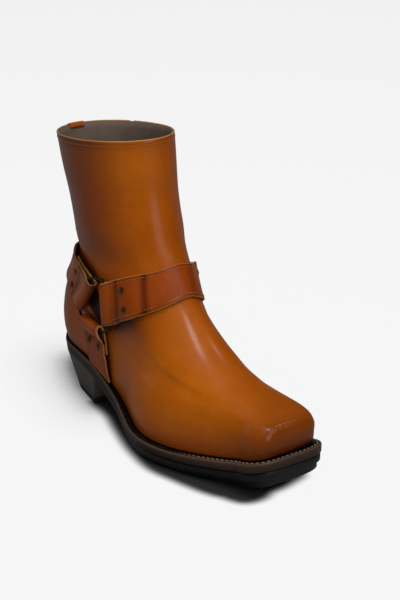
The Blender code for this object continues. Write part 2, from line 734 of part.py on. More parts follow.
make_sole()
make_heel()
make_upper()
make_wrapped_strap("instep_strap", instep_lane, instep_reach)
make_wrapped_strap("back_strap", back_lane, back_reach)
for which in ("outer", "inner"):
    make_stirrup(f"{which}_stirrup_strap", which)
    make_ring(f"{which}_harness_ring", which)
make_rivets()
make_zip()
make_tab(make_slider())
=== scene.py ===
"""Looks of a cognac harness boot with a square toe, right foot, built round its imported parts.

Sizes are in millimetres and turned to metres when a mesh is made.
+X is the toe, +Y the inner (medial) side, +Z up, and z = 0 the floor.
"""
import json
import math

import bmesh
import bpy
import numpy as np
from mathutils import Matrix, Vector

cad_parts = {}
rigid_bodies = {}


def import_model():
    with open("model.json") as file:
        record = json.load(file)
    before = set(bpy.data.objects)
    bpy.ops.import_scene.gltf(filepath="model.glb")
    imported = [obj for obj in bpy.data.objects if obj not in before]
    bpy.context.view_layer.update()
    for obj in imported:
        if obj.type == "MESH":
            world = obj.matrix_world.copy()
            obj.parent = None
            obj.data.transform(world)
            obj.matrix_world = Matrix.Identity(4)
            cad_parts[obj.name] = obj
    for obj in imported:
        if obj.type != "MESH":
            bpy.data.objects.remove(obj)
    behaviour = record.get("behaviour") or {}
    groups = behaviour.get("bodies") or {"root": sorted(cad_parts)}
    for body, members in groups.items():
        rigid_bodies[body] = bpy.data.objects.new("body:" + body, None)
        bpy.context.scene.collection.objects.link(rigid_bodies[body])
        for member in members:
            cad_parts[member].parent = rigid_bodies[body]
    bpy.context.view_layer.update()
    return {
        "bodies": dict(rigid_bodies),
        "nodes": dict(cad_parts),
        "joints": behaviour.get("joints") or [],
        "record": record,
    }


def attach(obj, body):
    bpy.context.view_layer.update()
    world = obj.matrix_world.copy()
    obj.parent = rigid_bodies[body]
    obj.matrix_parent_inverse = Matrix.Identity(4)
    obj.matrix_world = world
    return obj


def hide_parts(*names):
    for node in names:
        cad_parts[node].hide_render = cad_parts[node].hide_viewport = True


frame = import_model()

BOOT = "boot"
MM = 0.001
CENTRE_X = 141.0
CENTRE_Y = -1.317

# Sections of the last, from the feather line above the welt to the collar
COLUMNS = ("front_x", "front_z", "back_x", "back_z", "sag",
           "out_heel", "out_waist", "out_ball", "out_toe",
           "in_heel", "in_waist", "in_ball", "in_toe",
           "front_round", "front_power", "back_round")
SECTIONS = (
    (284, 31.5, 0, 45.5, 1.00, 31, 35, 50, 22, 31, 31, 47, 43, 24, 3.6, 40),
    (286.5, 42, -2.5, 57, 0.85, 33, 36.5, 52, 23.5, 33, 33, 49, 41.5, 24, 3.6, 40),
    (286, 51, -4, 69, 0.60, 33.5, 37, 51, 22.5, 33.5, 33, 45, 42, 25, 3.4, 41),
    (280, 58.5, -3.5, 81, 0.35, 33, 37, 47, 18.5, 33, 32, 37, 38.5, 29, 3.1, 42),
    (264, 65, -1.5, 92, 0.15, 32.5, 37, 41.5, 14, 32.5, 30, 28, 27, 50, 2.4, 43),
    (235, 74, 2.5, 102, 0.05, 32, 37, 40, 15.5, 32, 28, 26, 27, 64, 2.2, 45),
    (204, 88.5, 9, 113, 0, 32, 37, 40, 17, 32, 29, 27, 32, 82, 2.1, 48),
    (178, 106.5, 14, 123, 0, 33, 37.5, 41, 18, 33, 31, 27, 32, 84, 2.0, 52),
    (155, 128.5, 17, 133, 0, 34.5, 39, 43, 20, 34.5, 35, 27, 32, 74, 2.0, 58),
    (139, 151.5, 17, 144, 0, 37, 40, 44, 20, 37, 39, 27, 32, 66, 2.0, 60),
    (129.5, 174.5, 14, 158, 0, 38.5, 41, 44, 20, 38.5, 40, 27, 32, 62, 2.0, 60),
    (123, 198, 8, 179, 0, 39.5, 41, 44, 20, 39, 40, 27, 32, 61, 2.0, 60),
    (119, 222, -1, 203, 0, 40.5, 41.5, 44, 20, 39.5, 40.5, 27, 32, 60, 2.0, 60),
    (116, 246, -9, 228, 0, 41.5, 42, 44, 20, 40, 40.5, 27, 32, 61, 2.0, 61),
)
COLLAR = len(SECTIONS) - 1
OUT_STATIONS = (38, 112, 178, 262)
IN_STATIONS = (38, 112, 200, 262)

# Side profile of the sole
SOLE_COLUMNS = ("x", "feather", "welt", "band", "step", "under", "ledge")
SOLE_PROFILE = (
    (-14, 45.5, 4.5, 5.0, 0.6, 35.0, 2.0),
    (0, 45.5, 4.5, 5.0, 0.6, 35.0, 2.0),
    (30, 44.5, 4.5, 5.0, 0.6, 34.0, 2.2),
    (60, 41.5, 4.6, 5.2, 0.6, 30.2, 3.4),
    (90, 34.5, 4.8, 5.6, 0.9, 20.6, 5.0),
    (125, 23.5, 5.6, 6.0, 1.8, 6.6, 6.4),
    (148, 18.7, 6.4, 6.2, 2.4, 0.9, 6.8),
    (160, 17.4, 6.8, 6.2, 2.4, 0.0, 6.8),
    (195, 17.0, 7.2, 6.4, 2.4, 0.0, 6.8),
    (216, 18.3, 7.6, 6.6, 2.4, 0.0, 6.8),
    (240, 21.3, 8.0, 6.7, 2.4, 1.8, 6.8),
    (262, 25.5, 8.4, 6.8, 2.4, 5.0, 7.0),
    (284, 31.5, 8.6, 6.8, 2.4, 9.2, 7.0),
    (300, 36.5, 8.6, 6.8, 2.4, 13.0, 7.0),
)
TOE_X, TOE_FEATHER = SECTIONS[0][0:2]
HEEL_FEATHER = SECTIONS[0][3]

UPPER_WALL = 2.2
LEATHER = 1.3
LINING_GAP = 0.1
SEAT_GAP = 0.3
WELT_ROUND = 1.6
OUTSOLE_INSET = 0.7
OUTSOLE_BEVEL = 0.8
HEEL_BREAST_TOP = 74.0
HEEL_BREAST_FOOT = 68.0
HEEL_BACK_TAPER = 0.22
HEEL_SIDE_TAPER = 0.12
HEEL_BACK_NARROW = 0.25
TOP_LIFT = 6.0
HEEL_RISE = 35.0
HEEL_LAYERS = 5

STRAP_THICK = 2.2
STRAP_TAIL = 33.0
STIRRUP_TAIL = 24.0
WIRE_RADIUS = 1.2
WIRE_LIFT = 5.05
FOLD_RADIUS = 3.35
INNER_LAYER = WIRE_LIFT - FOLD_RADIUS
OUTER_LAYER = WIRE_LIFT + FOLD_RADIUS
LAID_LAYER = INNER_LAYER + STRAP_THICK + 0.5
RUN_LAYER = 2.4
# Straps as (angle, lower edge, upper edge)
INSTEP_EDGES = ((-28, 7.5, 8.58), (0, 7.75, 8.75), (28, 7.5, 8.58), (53, 7.0, 8.33),
                (78, 6.1, 7.8), (92, 5.3, 7.3), (105, 4.5, 6.8))
# Angle of each fold at even steps of the width, lower edge first
INSTEP_FOLD = (101.3, 96.8, 91.5, 86.3, 81.2)
BACK_EDGES = ((86, 2.9, 7.3), (94, 3.1, 7.6), (102, 3.35, 7.85), (111, 3.75, 8.05),
              (120, 4.2, 8.1), (128, 4.65, 8.1), (138, 5.0, 8.0), (150, 5.15, 7.9),
              (165, 5.05, 7.75), (180, 5.0, 7.65), (195, 5.05, 7.75))
BACK_FOLD = (120.7, 115.9, 109.4, 100.8, 89.8)
STIRRUP_ANGLES = (121.5, 107.5)
STIRRUP_FOLD = (3.9, 4.2)
STIRRUP_FOOT = 0.16
INSTEP_STAND = ((0, 0.0), (40, 0.0), (70, 2.0), (92, 4.0), (108, 4.0))
BACK_STAND = ((86, 4.0), (104, 3.2), (122, 1.6), (140, 0.6), (180, 0.3))
RING_CORNER = 1.2
RING_SLACK = 0.6
RIVET_RADIUS = 2.6
RIVET_GAP = 0.45

ZIP_ANGLES = (240.0, 247.5)
ZIP_SLIT = (241.4, 246.1)
ZIP_FOOT = 6.5
ZIP_HEAD = 12.95
SLIDER_SECTION = 12.3
TAB_LENGTH = 22.0
TAB_WIDTH = 6.0
TAB_THICK = 1.2
HINGE_LIFT = 3.6

COLUMN = {name: np.array([row[i] for row in SECTIONS], float) for i, name in enumerate(COLUMNS)}
SOLE = {name: np.array(c, float) for name, c in zip(SOLE_COLUMNS, zip(*SOLE_PROFILE))}


# Shape of the last

def smooth(xs, ys, x):
    """Smooth curve through the knots (xs, ys), level beyond the ends."""
    xs = np.asarray(xs, float)
    ys = np.asarray(ys, float)
    x = np.clip(np.asarray(x, float), xs[0], xs[-1])
    if ys.ndim == 1:
        ys = ys.reshape((-1,) + (1,) * x.ndim) * np.ones((1,) + x.shape)
    span = (xs[1:] - xs[:-1]).reshape((-1,) + (1,) * x.ndim)
    rise = (ys[1:] - ys[:-1]) / span
    slope = np.concatenate((rise[:1], (ys[2:] - ys[:-2]) / (span[1:] + span[:-1]), rise[-1:]))
    k = np.clip(np.searchsorted(xs, x, side="right") - 1, 0, len(xs) - 2)
    pick = k[None]
    y0, y1, m0, m1 = (np.take_along_axis(a, i, 0)[0]
                      for a, i in ((ys, pick), (ys, pick + 1), (slope, pick), (slope, pick + 1)))
    h = xs[k + 1] - xs[k]
    t = (x - xs[k]) / h
    return (y0 * (2 * t**3 - 3 * t**2 + 1) + m0 * h * (t**3 - 2 * t**2 + t)
            + y1 * (3 * t**2 - 2 * t**3) + m1 * h * (t**3 - t**2))


def ease(low, high, x):
    """Soft step from 0 at low to 1 at high."""
    t = np.clip((np.asarray(x, float) - low) / (high - low), 0, 1)
    return t * t * (3 - 2 * t)


def sole(column, x):
    return smooth(SOLE["x"], SOLE[column], x)


def last(v, angle):
    """Points of the outer face at section v and angle: 0 toe, 90 outer side, 180 heel."""
    v, angle = np.broadcast_arrays(np.asarray(v, float), np.asarray(angle, float))
    rows = np.arange(len(SECTIONS))
    c = {name: smooth(rows, COLUMN[name], v) for name in COLUMNS}
    turn = np.radians(angle)
    s = (1 + np.cos(turn)) / 2
    x = c["back_x"] + (c["front_x"] - c["back_x"]) * s
    to_front = np.clip((c["front_x"] - x) / c["front_round"], 0, 1)
    to_back = np.clip((x - c["back_x"]) / c["back_round"], 0, 1)
    power = c["front_power"]
    close = (1 - (1 - to_front)**power)**(1 / power) * np.sqrt(1 - (1 - to_back)**2)
    out = smooth(OUT_STATIONS, np.stack([c["out_" + n] for n in ("heel", "waist", "ball", "toe")]), x)
    inn = smooth(IN_STATIONS, np.stack([c["in_" + n] for n in ("heel", "waist", "ball", "toe")]), x)
    y = np.where(np.sin(turn) >= 0, -out, inn) * close
    level = HEEL_FEATHER + (TOE_FEATHER - HEEL_FEATHER) * np.clip(x / TOE_X, 0, 1)
    z = c["back_z"] + (c["front_z"] - c["back_z"]) * s + c["sag"] * (sole("feather", x) - level)
    return np.stack((x, y, z), -1)


def lifted(v, angle, lift=0.0):
    """Points lifted off the outer face along its outward normal."""
    v, angle, lift = np.broadcast_arrays(*(np.asarray(a, float) for a in (v, angle, lift)))
    e = 0.04
    up = last(np.clip(v + e, 0, COLLAR), angle) - last(np.clip(v - e, 0, COLLAR), angle)
    along = last(v, angle + 0.6) - last(v, angle - 0.6)
    n = np.cross(along, up)
    n = n / np.linalg.norm(n, axis=-1, keepdims=True)
    return last(v, angle) + n * (lift * OUTWARD)[..., None]


# Sign that makes a lift point away from the foot
OUTWARD = 1.0
OUTWARD = 1.0 if lifted(6.0, 90.0, 1.0)[1] < last(6.0, 90.0)[1] else -1.0


# Meshes

def world(points):
    return (np.asarray(points, float) - (CENTRE_X, CENTRE_Y, 0)) * MM


def piece(name, verts, faces, mats, wears=None, attrs=None, round_faces=True, body=BOOT):
    """One piece from points in millimetres. wears gives a material number for each face."""
    mesh = bpy.data.meshes.new(name)
    mesh.from_pydata(world(verts).tolist(), [], [tuple(int(i) for i in f) for f in faces])
    for key, values in (attrs or {}).items():
        layer = mesh.attributes.new(key, "FLOAT", "POINT")
        layer.data.foreach_set("value", np.asarray(values, np.float32).ravel())
    for m in mats:
        mesh.materials.append(m)
    if wears is not None:
        mesh.polygons.foreach_set("material_index", np.asarray(wears, np.int32))
    mesh.polygons.foreach_set("use_smooth", [round_faces] * len(mesh.polygons))
    bm = bmesh.new()
    bm.from_mesh(mesh)
    bmesh.ops.recalc_face_normals(bm, faces=bm.faces)
    if bm.calc_volume(signed=True) < 0:
        bmesh.ops.reverse_faces(bm, faces=bm.faces)
    bm.to_mesh(mesh)
    bm.free()
    obj = bpy.data.objects.new(name, mesh)
    bpy.context.collection.objects.link(obj)
    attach(obj, body)
    return obj


def ring_faces(a, b, n):
    """Quads between two closed loops of n points that start at a and b."""
    return [(a + i, a + (i + 1) % n, b + (i + 1) % n, b + i) for i in range(n)]


def ladder_faces(a, n):
    """Cap of a loop that is even about its first point: rungs from side to side."""
    half = n // 2
    faces = [(a, a + 1, a + n - 1)]
    for i in range(1, half - 1):
        faces.append((a + i, a + i + 1, a + n - i - 1, a + n - i))
    faces.append((a + half - 1, a + half, a + half + 1))
    return faces


def unit(p):
    return p / np.linalg.norm(p, axis=-1, keepdims=True)


def resample(line, count, closed=False):
    """Smooth line through the points, in even steps."""
    line = np.asarray(line, float)
    if closed:
        line = np.concatenate((line[-3:], line, line[:4]))
    reach = np.concatenate(([0], np.cumsum(np.linalg.norm(np.diff(line, axis=0), axis=1))))
    if closed:
        at = np.linspace(reach[3], reach[-4], count, endpoint=False)
    else:
        at = np.linspace(0, reach[-1], count)
    return np.stack([smooth(reach, line[:, k], at) for k in range(line.shape[1])], -1)


def round_angles(count, pack=0.15):
    """Angles round the boot, closer together at the toe, even about 0."""
    t = np.arange(count) * 2.0 / count
    t = np.where(t > 1, t - 2, t)
    return np.mod(180 * (pack * t + (1 - pack) * t * np.abs(t)), 360)


# Finishes

def put(tree, kind, inputs=None, **props):
    """A node with its settings. An input is a value or the socket that feeds it."""
    n = tree.nodes.new(kind)
    for key, value in props.items():
        setattr(n, key, value)
    for key, value in (inputs or {}).items():
        if isinstance(value, bpy.types.NodeSocket):
            tree.links.new(value, n.inputs[key])
        else:
            n.inputs[key].default_value = value
    return n


def sums(tree, how, a, b, c=None):
    ins = {0: a, 1: b}
    if c is not None:
        ins[2] = c
    return put(tree, "ShaderNodeMath", ins, operation=how).outputs[0]


def blend_colour(tree, share, a, b):
    return put(tree, "ShaderNodeMix", {0: share, 6: a, 7: b}, data_type="RGBA").outputs[2]


def noise(tree, where, scale, detail=3.0, rough=0.55):
    return put(tree, "ShaderNodeTexNoise",
               {"Vector": where, "Scale": scale, "Detail": detail, "Roughness": rough}).outputs["Fac"]


def spread(tree, value, low, high, to_low=0.0, to_high=1.0):
    return put(tree, "ShaderNodeMapRange", {0: value, 1: low, 2: high, 3: to_low, 4: to_high},
               clamp=True).outputs[0]


def painted(tree, name):
    """Value that the points of the mesh carry under that name."""
    return put(tree, "ShaderNodeAttribute", attribute_name=name).outputs["Fac"]


def own_place(tree):
    """Coordinates of the piece itself, in metres."""
    return put(tree, "ShaderNodeTexCoord").outputs["Object"]


def clamped(tree, value):
    return put(tree, "ShaderNodeClamp", {0: value}).outputs[0]


def group(name, inputs, outputs):
    """An empty node group with named sockets. Returns the tree, its inputs and a way to set outputs."""
    tree = bpy.data.node_groups.new(name, "ShaderNodeTree")
    for key, kind, value in inputs:
        sock = tree.interface.new_socket(key, in_out="INPUT", socket_type=kind)
        sock.default_value = value
    for key, kind in outputs:
        tree.interface.new_socket(key, in_out="OUTPUT", socket_type=kind)
    source = tree.nodes.new("NodeGroupInput")
    sink = tree.nodes.new("NodeGroupOutput")

    def give(key, socket):
        tree.links.new(socket, sink.inputs[key])

    return tree, source.outputs, give


VALUE = "NodeSocketFloat"
COLOUR = "NodeSocketColor"


def grain_group():
    """Leather grain: pores, fine hair cells and a slow mottle."""
    t, ins, give = group("leather grain", (("Pore", VALUE, 900.0), ("Mottle size", VALUE, 26.0)),
                         (("Height", VALUE), ("Mottle", VALUE)))
    where = own_place(t)
    cells = put(t, "ShaderNodeTexVoronoi", {"Vector": where, "Scale": ins["Pore"], "Smoothness": 0.6},
                feature="SMOOTH_F1").outputs["Distance"]
    fine = noise(t, where, sums(t, "MULTIPLY", ins["Pore"], 2.6), 2.0)
    soft = noise(t, where, sums(t, "MULTIPLY", ins["Pore"], 0.16), 3.0)
    height = sums(t, "MULTIPLY_ADD", cells, 0.5, sums(t, "MULTIPLY_ADD", fine, 0.22, sums(t, "MULTIPLY", soft, 0.7)))
    give("Height", height)
    slow = noise(t, where, ins["Mottle size"], 4.0, 0.62)
    mid = noise(t, where, sums(t, "MULTIPLY", ins["Mottle size"], 4.5), 3.0, 0.6)
    give("Mottle", spread(t, sums(t, "MULTIPLY_ADD", mid, 0.35, sums(t, "MULTIPLY", slow, 0.65)), 0.32, 0.68))
    return t


# Near-black colour of the painted shade in gaps, below the straps and in the ring holes
PAINTED_SHADE_COLOUR = (0.004, 0.002, 0.0015, 1)


def burnish_and_shade_group():
    """Colour of hand polished leather: darker where it is burnished and where shade is painted, paler where it is
    marked pale, including painted light, and near black in the deepest painted shade.
    """
    t, ins, give = group("hand burnish",
                         (("Leather", COLOUR, (0.4, 0.13, 0.03, 1)), ("Burnish", COLOUR, (0.1, 0.03, 0.01, 1)),
                          ("Pale", COLOUR, (0.6, 0.25, 0.07, 1)), ("Mottle", VALUE, 0.5)),
                         (("Colour", COLOUR), ("Recess", VALUE), ("Polish", VALUE)))
    # Share of burnishing and painted shade
    dark = painted(t, "burnish_and_shade")
    # Share of paleness and painted light
    pale = painted(t, "pale")
    uneven = sums(t, "MULTIPLY_ADD", ins["Mottle"], 0.5, 0.7)
    antique = sums(t, "MULTIPLY_ADD", ins["Mottle"], -0.16, 0.12)
    share = clamped(t, sums(t, "MULTIPLY_ADD", dark, uneven, antique))
    light = sums(t, "MULTIPLY_ADD", ins["Mottle"], 0.35, sums(t, "MULTIPLY_ADD", pale, 0.9, -0.12))
    base = blend_colour(t, clamped(t, light), ins["Leather"], ins["Pale"])
    polished = blend_colour(t, share, base, ins["Burnish"])
    # Near-black painted shade in gaps, below the straps and in the ring holes
    deep = clamped(t, painted(t, "painted_shade"))
    give("Colour", blend_colour(t, deep, polished, PAINTED_SHADE_COLOUR))
    give("Recess", deep)
    give("Polish", sums(t, "MULTIPLY", share, sums(t, "SUBTRACT", 1.0, deep)))
    return t


def scuff_group():
    """Fine scratches and rubbed spots for hard and rubbery surfaces."""
    t, ins, give = group("fine scuffs", (("Size", VALUE, 120.0),), (("Mask", VALUE), ("Height", VALUE)))
    where = own_place(t)
    stretched = put(t, "ShaderNodeMapping", {"Vector": where, "Scale": (1.0, 1.0, 6.0)}).outputs[0]
    lines = noise(t, stretched, ins["Size"], 5.0, 0.7)
    spots = noise(t, where, sums(t, "MULTIPLY", ins["Size"], 0.25), 3.0)
    give("Mask", spread(t, sums(t, "MULTIPLY", lines, spots), 0.18, 0.42))
    give("Height", lines)
    return t


GRAIN = grain_group()
BURNISH_AND_SHADE = burnish_and_shade_group()
SCUFFS = scuff_group()


def start_material(name, rough, metal=0.0, **sockets):
    """A material with its Principled shader. Constants sit on the shader's own sockets."""
    m = bpy.data.materials.new(name)
    m.use_nodes = True
    shader = m.node_tree.nodes["Principled BSDF"]
    shader.inputs["Roughness"].default_value = rough
    shader.inputs["Metallic"].default_value = metal
    for key, value in sockets.items():
        shader.inputs[key.replace("_", " ")].default_value = value
    return m, m.node_tree, shader


def bump(tree, shader, height, strength, depth):
    b = put(tree, "ShaderNodeBump", {"Height": height, "Strength": strength, "Distance": depth * MM})
    tree.links.new(b.outputs[0], shader.inputs["Normal"])


def use(tree, node_group, **values):
    n = put(tree, "ShaderNodeGroup", node_tree=node_group)
    for key, value in values.items():
        key = key.replace("_", " ")
        if isinstance(value, bpy.types.NodeSocket):
            tree.links.new(value, n.inputs[key])
        else:
            n.inputs[key].default_value = value
    return n.outputs


def rgb(r, g, b):
    """Linear colour from the 0 to 255 values of a screen."""
    return tuple(((c / 255 + 0.055) / 1.055)**2.4 if c > 10.3 else c / 255 / 12.92 for c in (r, g, b)) + (1.0,)


def leather(name, base, dark, pale, rough, coat=0.0, pore=950.0, mottle=26.0, depth=0.10, swing=0.10,
            coat_rough=0.16, shine=0.12, polish=0.0):
    """Leather or thread in three screen colours: base, a dark tone for burnishing and painted shade, and a pale tone
    that also carries painted light. polish adds coat where it is burnished and where shade is painted.
    """
    m, t, shader = start_material(name, rough, Coat_Weight=coat, Coat_Roughness=coat_rough, Coat_IOR=1.5,
                                  Specular_IOR_Level=shine)
    grain = use(t, GRAIN, Pore=pore, Mottle_size=mottle)
    paint = use(t, BURNISH_AND_SHADE, Leather=rgb(*base), Burnish=rgb(*dark), Pale=rgb(*pale), Mottle=grain["Mottle"])
    t.links.new(paint["Colour"], shader.inputs["Base Color"])
    uneven = spread(t, grain["Mottle"], 0, 1, rough - swing / 2, rough + swing / 2)
    # The leather is rougher in the near-black painted shade.
    t.links.new(sums(t, "MULTIPLY_ADD", paint["Recess"], 0.4, uneven), shader.inputs["Roughness"])
    if polish:
        t.links.new(sums(t, "MULTIPLY_ADD", paint["Polish"], polish, coat), shader.inputs["Coat Weight"])
    bump(t, shader, grain["Height"], 0.5, depth)
    m.diffuse_color = rgb(*base)
    return m


COGNAC = leather("polished cognac leather", (176, 84, 6), (80, 28, 6), (200, 104, 12), 0.40, 0.24,
                 coat_rough=0.18, polish=0.35)
STRAP = leather("burnished strap leather", (158, 66, 6), (66, 24, 6), (184, 86, 10), 0.42, 0.25, mottle=34.0,
                coat_rough=0.26, polish=0.12)
RAW_EDGE = leather("raw cut leather edge", (206, 150, 84), (186, 128, 68), (228, 182, 116), 0.75, pore=1600.0,
                   depth=0.25)
LINING = leather("grey brown lining", (118, 101, 88), (52, 43, 37), (140, 122, 108), 0.72, pore=700.0, mottle=60.0,
                 depth=0.3)
INSOLE = leather("grey brown insole leather", (84, 68, 56), (50, 40, 34), (104, 88, 74), 0.70, pore=1200.0)
# The welt's near-black dark tone is its painted shadow on the ledge and underside, and its pale tone the painted
# highlight along the rounded rim.
WELT = leather("dark brown welt leather", (76, 56, 45), (9, 7, 6), (98, 76, 62), 0.38, 0.2, pore=1500.0,
               mottle=60.0, depth=0.08)
THREAD = leather("waxed tan thread", (176, 112, 52), (96, 52, 20), (208, 150, 84), 0.55, pore=3200.0,
                 mottle=200.0, depth=0.2)
# The thread's dark tone is painted shade on the welt stitches away from the toe.
WELT_THREAD = leather("pale waxed thread", (150, 126, 98), (30, 24, 20), (190, 170, 140), 0.55, pore=3200.0,
                      mottle=200.0, depth=0.2)


def rubber(name, base, worn, rough, size):
    m, t, shader = start_material(name, rough)
    marks = use(t, SCUFFS, Size=size)
    t.links.new(blend_colour(t, marks["Mask"], rgb(*base), rgb(*worn)), shader.inputs["Base Color"])
    t.links.new(spread(t, marks["Mask"], 0, 1, rough, rough + 0.15), shader.inputs["Roughness"])
    bump(t, shader, marks["Height"], 0.35, 0.12)
    m.diffuse_color = rgb(*base)
    return m


SOLE_RUBBER = rubber("black sole rubber", (13, 12, 12), (26, 24, 23), 0.46, 150.0)
HEEL_STACK = rubber("black heel stack", (66, 64, 60), (72, 69, 66), 0.42, 90.0)
LIFT_RUBBER = rubber("heel lift rubber", (20, 20, 20), (42, 40, 40), 0.58, 150.0)


def metal(name, base, worn, rough):
    m, t, shader = start_material(name, rough, 1.0)
    marks = use(t, SCUFFS, Size=700.0)
    t.links.new(blend_colour(t, marks["Mask"], rgb(*base), rgb(*worn)), shader.inputs["Base Color"])
    t.links.new(spread(t, marks["Mask"], 0, 1, rough + 0.12, rough), shader.inputs["Roughness"])
    bump(t, shader, marks["Height"], 0.2, 0.05)
    m.diffuse_color = rgb(*base)
    return m


BRASS = metal("antique brass", (98, 78, 46), (160, 132, 82), 0.34)
NICKEL = metal("dark nickel", (96, 88, 78), (170, 162, 148), 0.30)
GUNMETAL = metal("aged gunmetal", (50, 42, 34), (96, 86, 74), 0.36)


def tape_material():
    """Woven zip tape."""
    m, t, shader = start_material("black zip tape", 0.8)
    where = own_place(t)
    weave = put(t, "ShaderNodeTexWave", {"Vector": where, "Scale": 420.0, "Distortion": 0.6}).outputs["Fac"]
    t.links.new(blend_colour(t, weave, rgb(16, 14, 13), rgb(38, 34, 31)), shader.inputs["Base Color"])
    bump(t, shader, weave, 0.5, 0.15)
    return m


ZIP_TAPE = tape_material()


# Upper

# Soft troughs of the leather: section and angle at one end and the other, width, depth, bow in sections.
# A depth below 0 is a ridge.
CREASES = (
    (9.15, 118, 8.75, 40, 9.0, 0.9, -0.15),
    (8.6, 165, 8.15, 118, 8.0, 1.0, -0.15),
    (8.9, 240, 8.6, 195, 8.0, 0.9, -0.1),
    (9.2, 330, 8.9, 262, 9.0, 0.8, -0.1),
    (10.75, 66, 10.65, 24, 2.6, 0.22, 0.05),
    (10.45, 74, 10.40, 30, 2.6, 0.25, 0.05),
    (10.15, 70, 10.12, 36, 2.4, 0.20, 0.05),
    (11.3, 60, 11.2, 20, 3.2, 0.18, 0.04),
    (4.2, 58, 5.5, 22, 9.0, 0.15, 0.15),
    (4.0, 300, 5.4, 338, 9.0, 0.35, 0.15),
    (6.1, 282, 6.6, 312, 8.0, 0.5, -0.2),
    (3.2, 150, 4.2, 128, 8.0, 0.45, 0.2),
    (6.1, 84, 4.3, 42, 6.5, 0.9, 0.2),
    (2.45, 9, 2.95, -17, 4.2, -0.9, 0.1),
    (2.1, 11, 0.5, 12.5, 2.6, 0.35, 0.0),
)
CREASE_STEPS = 24
# Lip beside a trough: share of its depth, then place and width as shares of the trough's width
LIP_HEIGHT = 0.42
LIP_PLACE = 1.9
LIP_WIDTH = 0.9


def crease_lift(points):
    """Height of the creases at points of the outer face."""
    flat = points.reshape(-1, 3)
    total = np.zeros(len(flat))
    for v0, a0, v1, a1, width, depth, bow in CREASES:
        t = np.linspace(0, 1, CREASE_STEPS)
        line = last(v0 + (v1 - v0) * t + bow * np.sin(np.pi * t), a0 + (a1 - a0) * t)
        near = (np.linalg.norm(flat - line.mean(0), axis=1)
                < 0.5 * np.linalg.norm(line[-1] - line[0]) + 6 * width + 12)
        if not near.any():
            continue
        gap = np.linalg.norm(flat[near][:, None] - line[None], axis=2)
        best = gap.argmin(1)
        d = gap[np.arange(len(best)), best]
        fade = np.sin(np.pi * t[best])**0.7
        lip = LIP_HEIGHT * np.exp(-((d - LIP_PLACE * width) / (LIP_WIDTH * width))**2)
        shape = np.exp(-(d / width)**2) - lip
        total[near] -= depth * fade * shape
    return total.reshape(points.shape[:-1])


def upper_lift(v, angle):
    """Relief of the leather over the last."""
    p = last(v, angle)
    lift = crease_lift(p)
    x, y, z = p[..., 0], p[..., 1], p[..., 2]
    slow = (np.sin(x / 31 + 0.4 * np.sin(z / 23)) * np.sin(z / 27 + 1.3) * np.sin(y / 24 + 0.7)
            + 0.5 * np.sin(x / 13 + z / 17) * np.sin(z / 11 - y / 15))
    rest = ease(0.0, 0.8, v) * (1 - ease(12.2, 12.9, v))
    return lift * rest + 0.16 * slow * rest


def edge_at(edges, angle, w):
    """Section number at a share w of the strap's width."""
    a, low, high = (np.array(c, float) for c in zip(*edges))
    vb = smooth(a, low, angle)
    return vb + (smooth(a, high, angle) - vb) * w


def from_toe(angle):
    """Angle from the toe, the same on both sides."""
    return np.where(angle > 180, 360 - angle, angle)


def signed(angle):
    """Angle from the toe, below 0 on the inner side."""
    return np.mod(angle + 180, 360) - 180


def upper_burnish_and_shade(v, angle):
    """Share of the dark tone: burnishing at the toe, heel, along the welt and under the collar, and painted shade on
    the outer and back side of the shaft and below the instep strap.
    """
    p = last(v, angle)
    x, z = p[..., 0], p[..., 2]
    toe = 0.36 * ease(225, 290, x) * (1 - 0.55 * ease(4.0, 6.5, v))
    front = 0.12 * ease(272, 284, x)
    welt = 0.40 * np.exp(-np.clip(z - sole("feather", x), 0, None) / 7.0)
    heel = 0.6 * (1 - ease(0, 70, x)) * (1 - ease(6.0, 9.0, v))
    # Painted shade: the outer and back side of the shaft is darker.
    shaft = 0.62 * ease(-0.1, 0.9, np.cos(np.radians(angle - 135))) * ease(7.5, 9.5, v)
    collar = 0.30 * ease(12.55, 12.95, v)
    a = from_toe(angle)
    low = edge_at(INSTEP_EDGES, a, 0)
    # Painted shade below the lower edge of the instep strap.
    strap_side = 0.45 * np.exp(-np.clip(low - v, 0, None)**2) * ease(22, 70, a) * (1 - ease(108, 120, a))
    return np.clip(toe + front + welt + heel + shaft + collar + strap_side * (v < low + 1), 0, 1)


def upper_pale_and_lit(v, angle):
    """Paler along the instep ridge and over the ball, and painted light at the front of the shaft near the collar.
    """
    turn = signed(angle)
    ridge = np.exp(-((turn - 28) / 34.0)**2) * ease(1.5, 4.0, v) * (1 - ease(7.2, 8.6, v))
    ball = np.exp(-((np.abs(turn) - 62) / 34.0)**2) * ease(0.3, 1.5, v) * (1 - ease(4.5, 6.5, v))
    # Painted light: the front of the shaft near the collar is paler.
    collar = np.exp(-((turn - 30) / 30.0)**2) * ease(9.5, 12.0, v)
    return np.clip(0.5 * ridge + 0.75 * ball + 0.7 * collar, 0, 1)


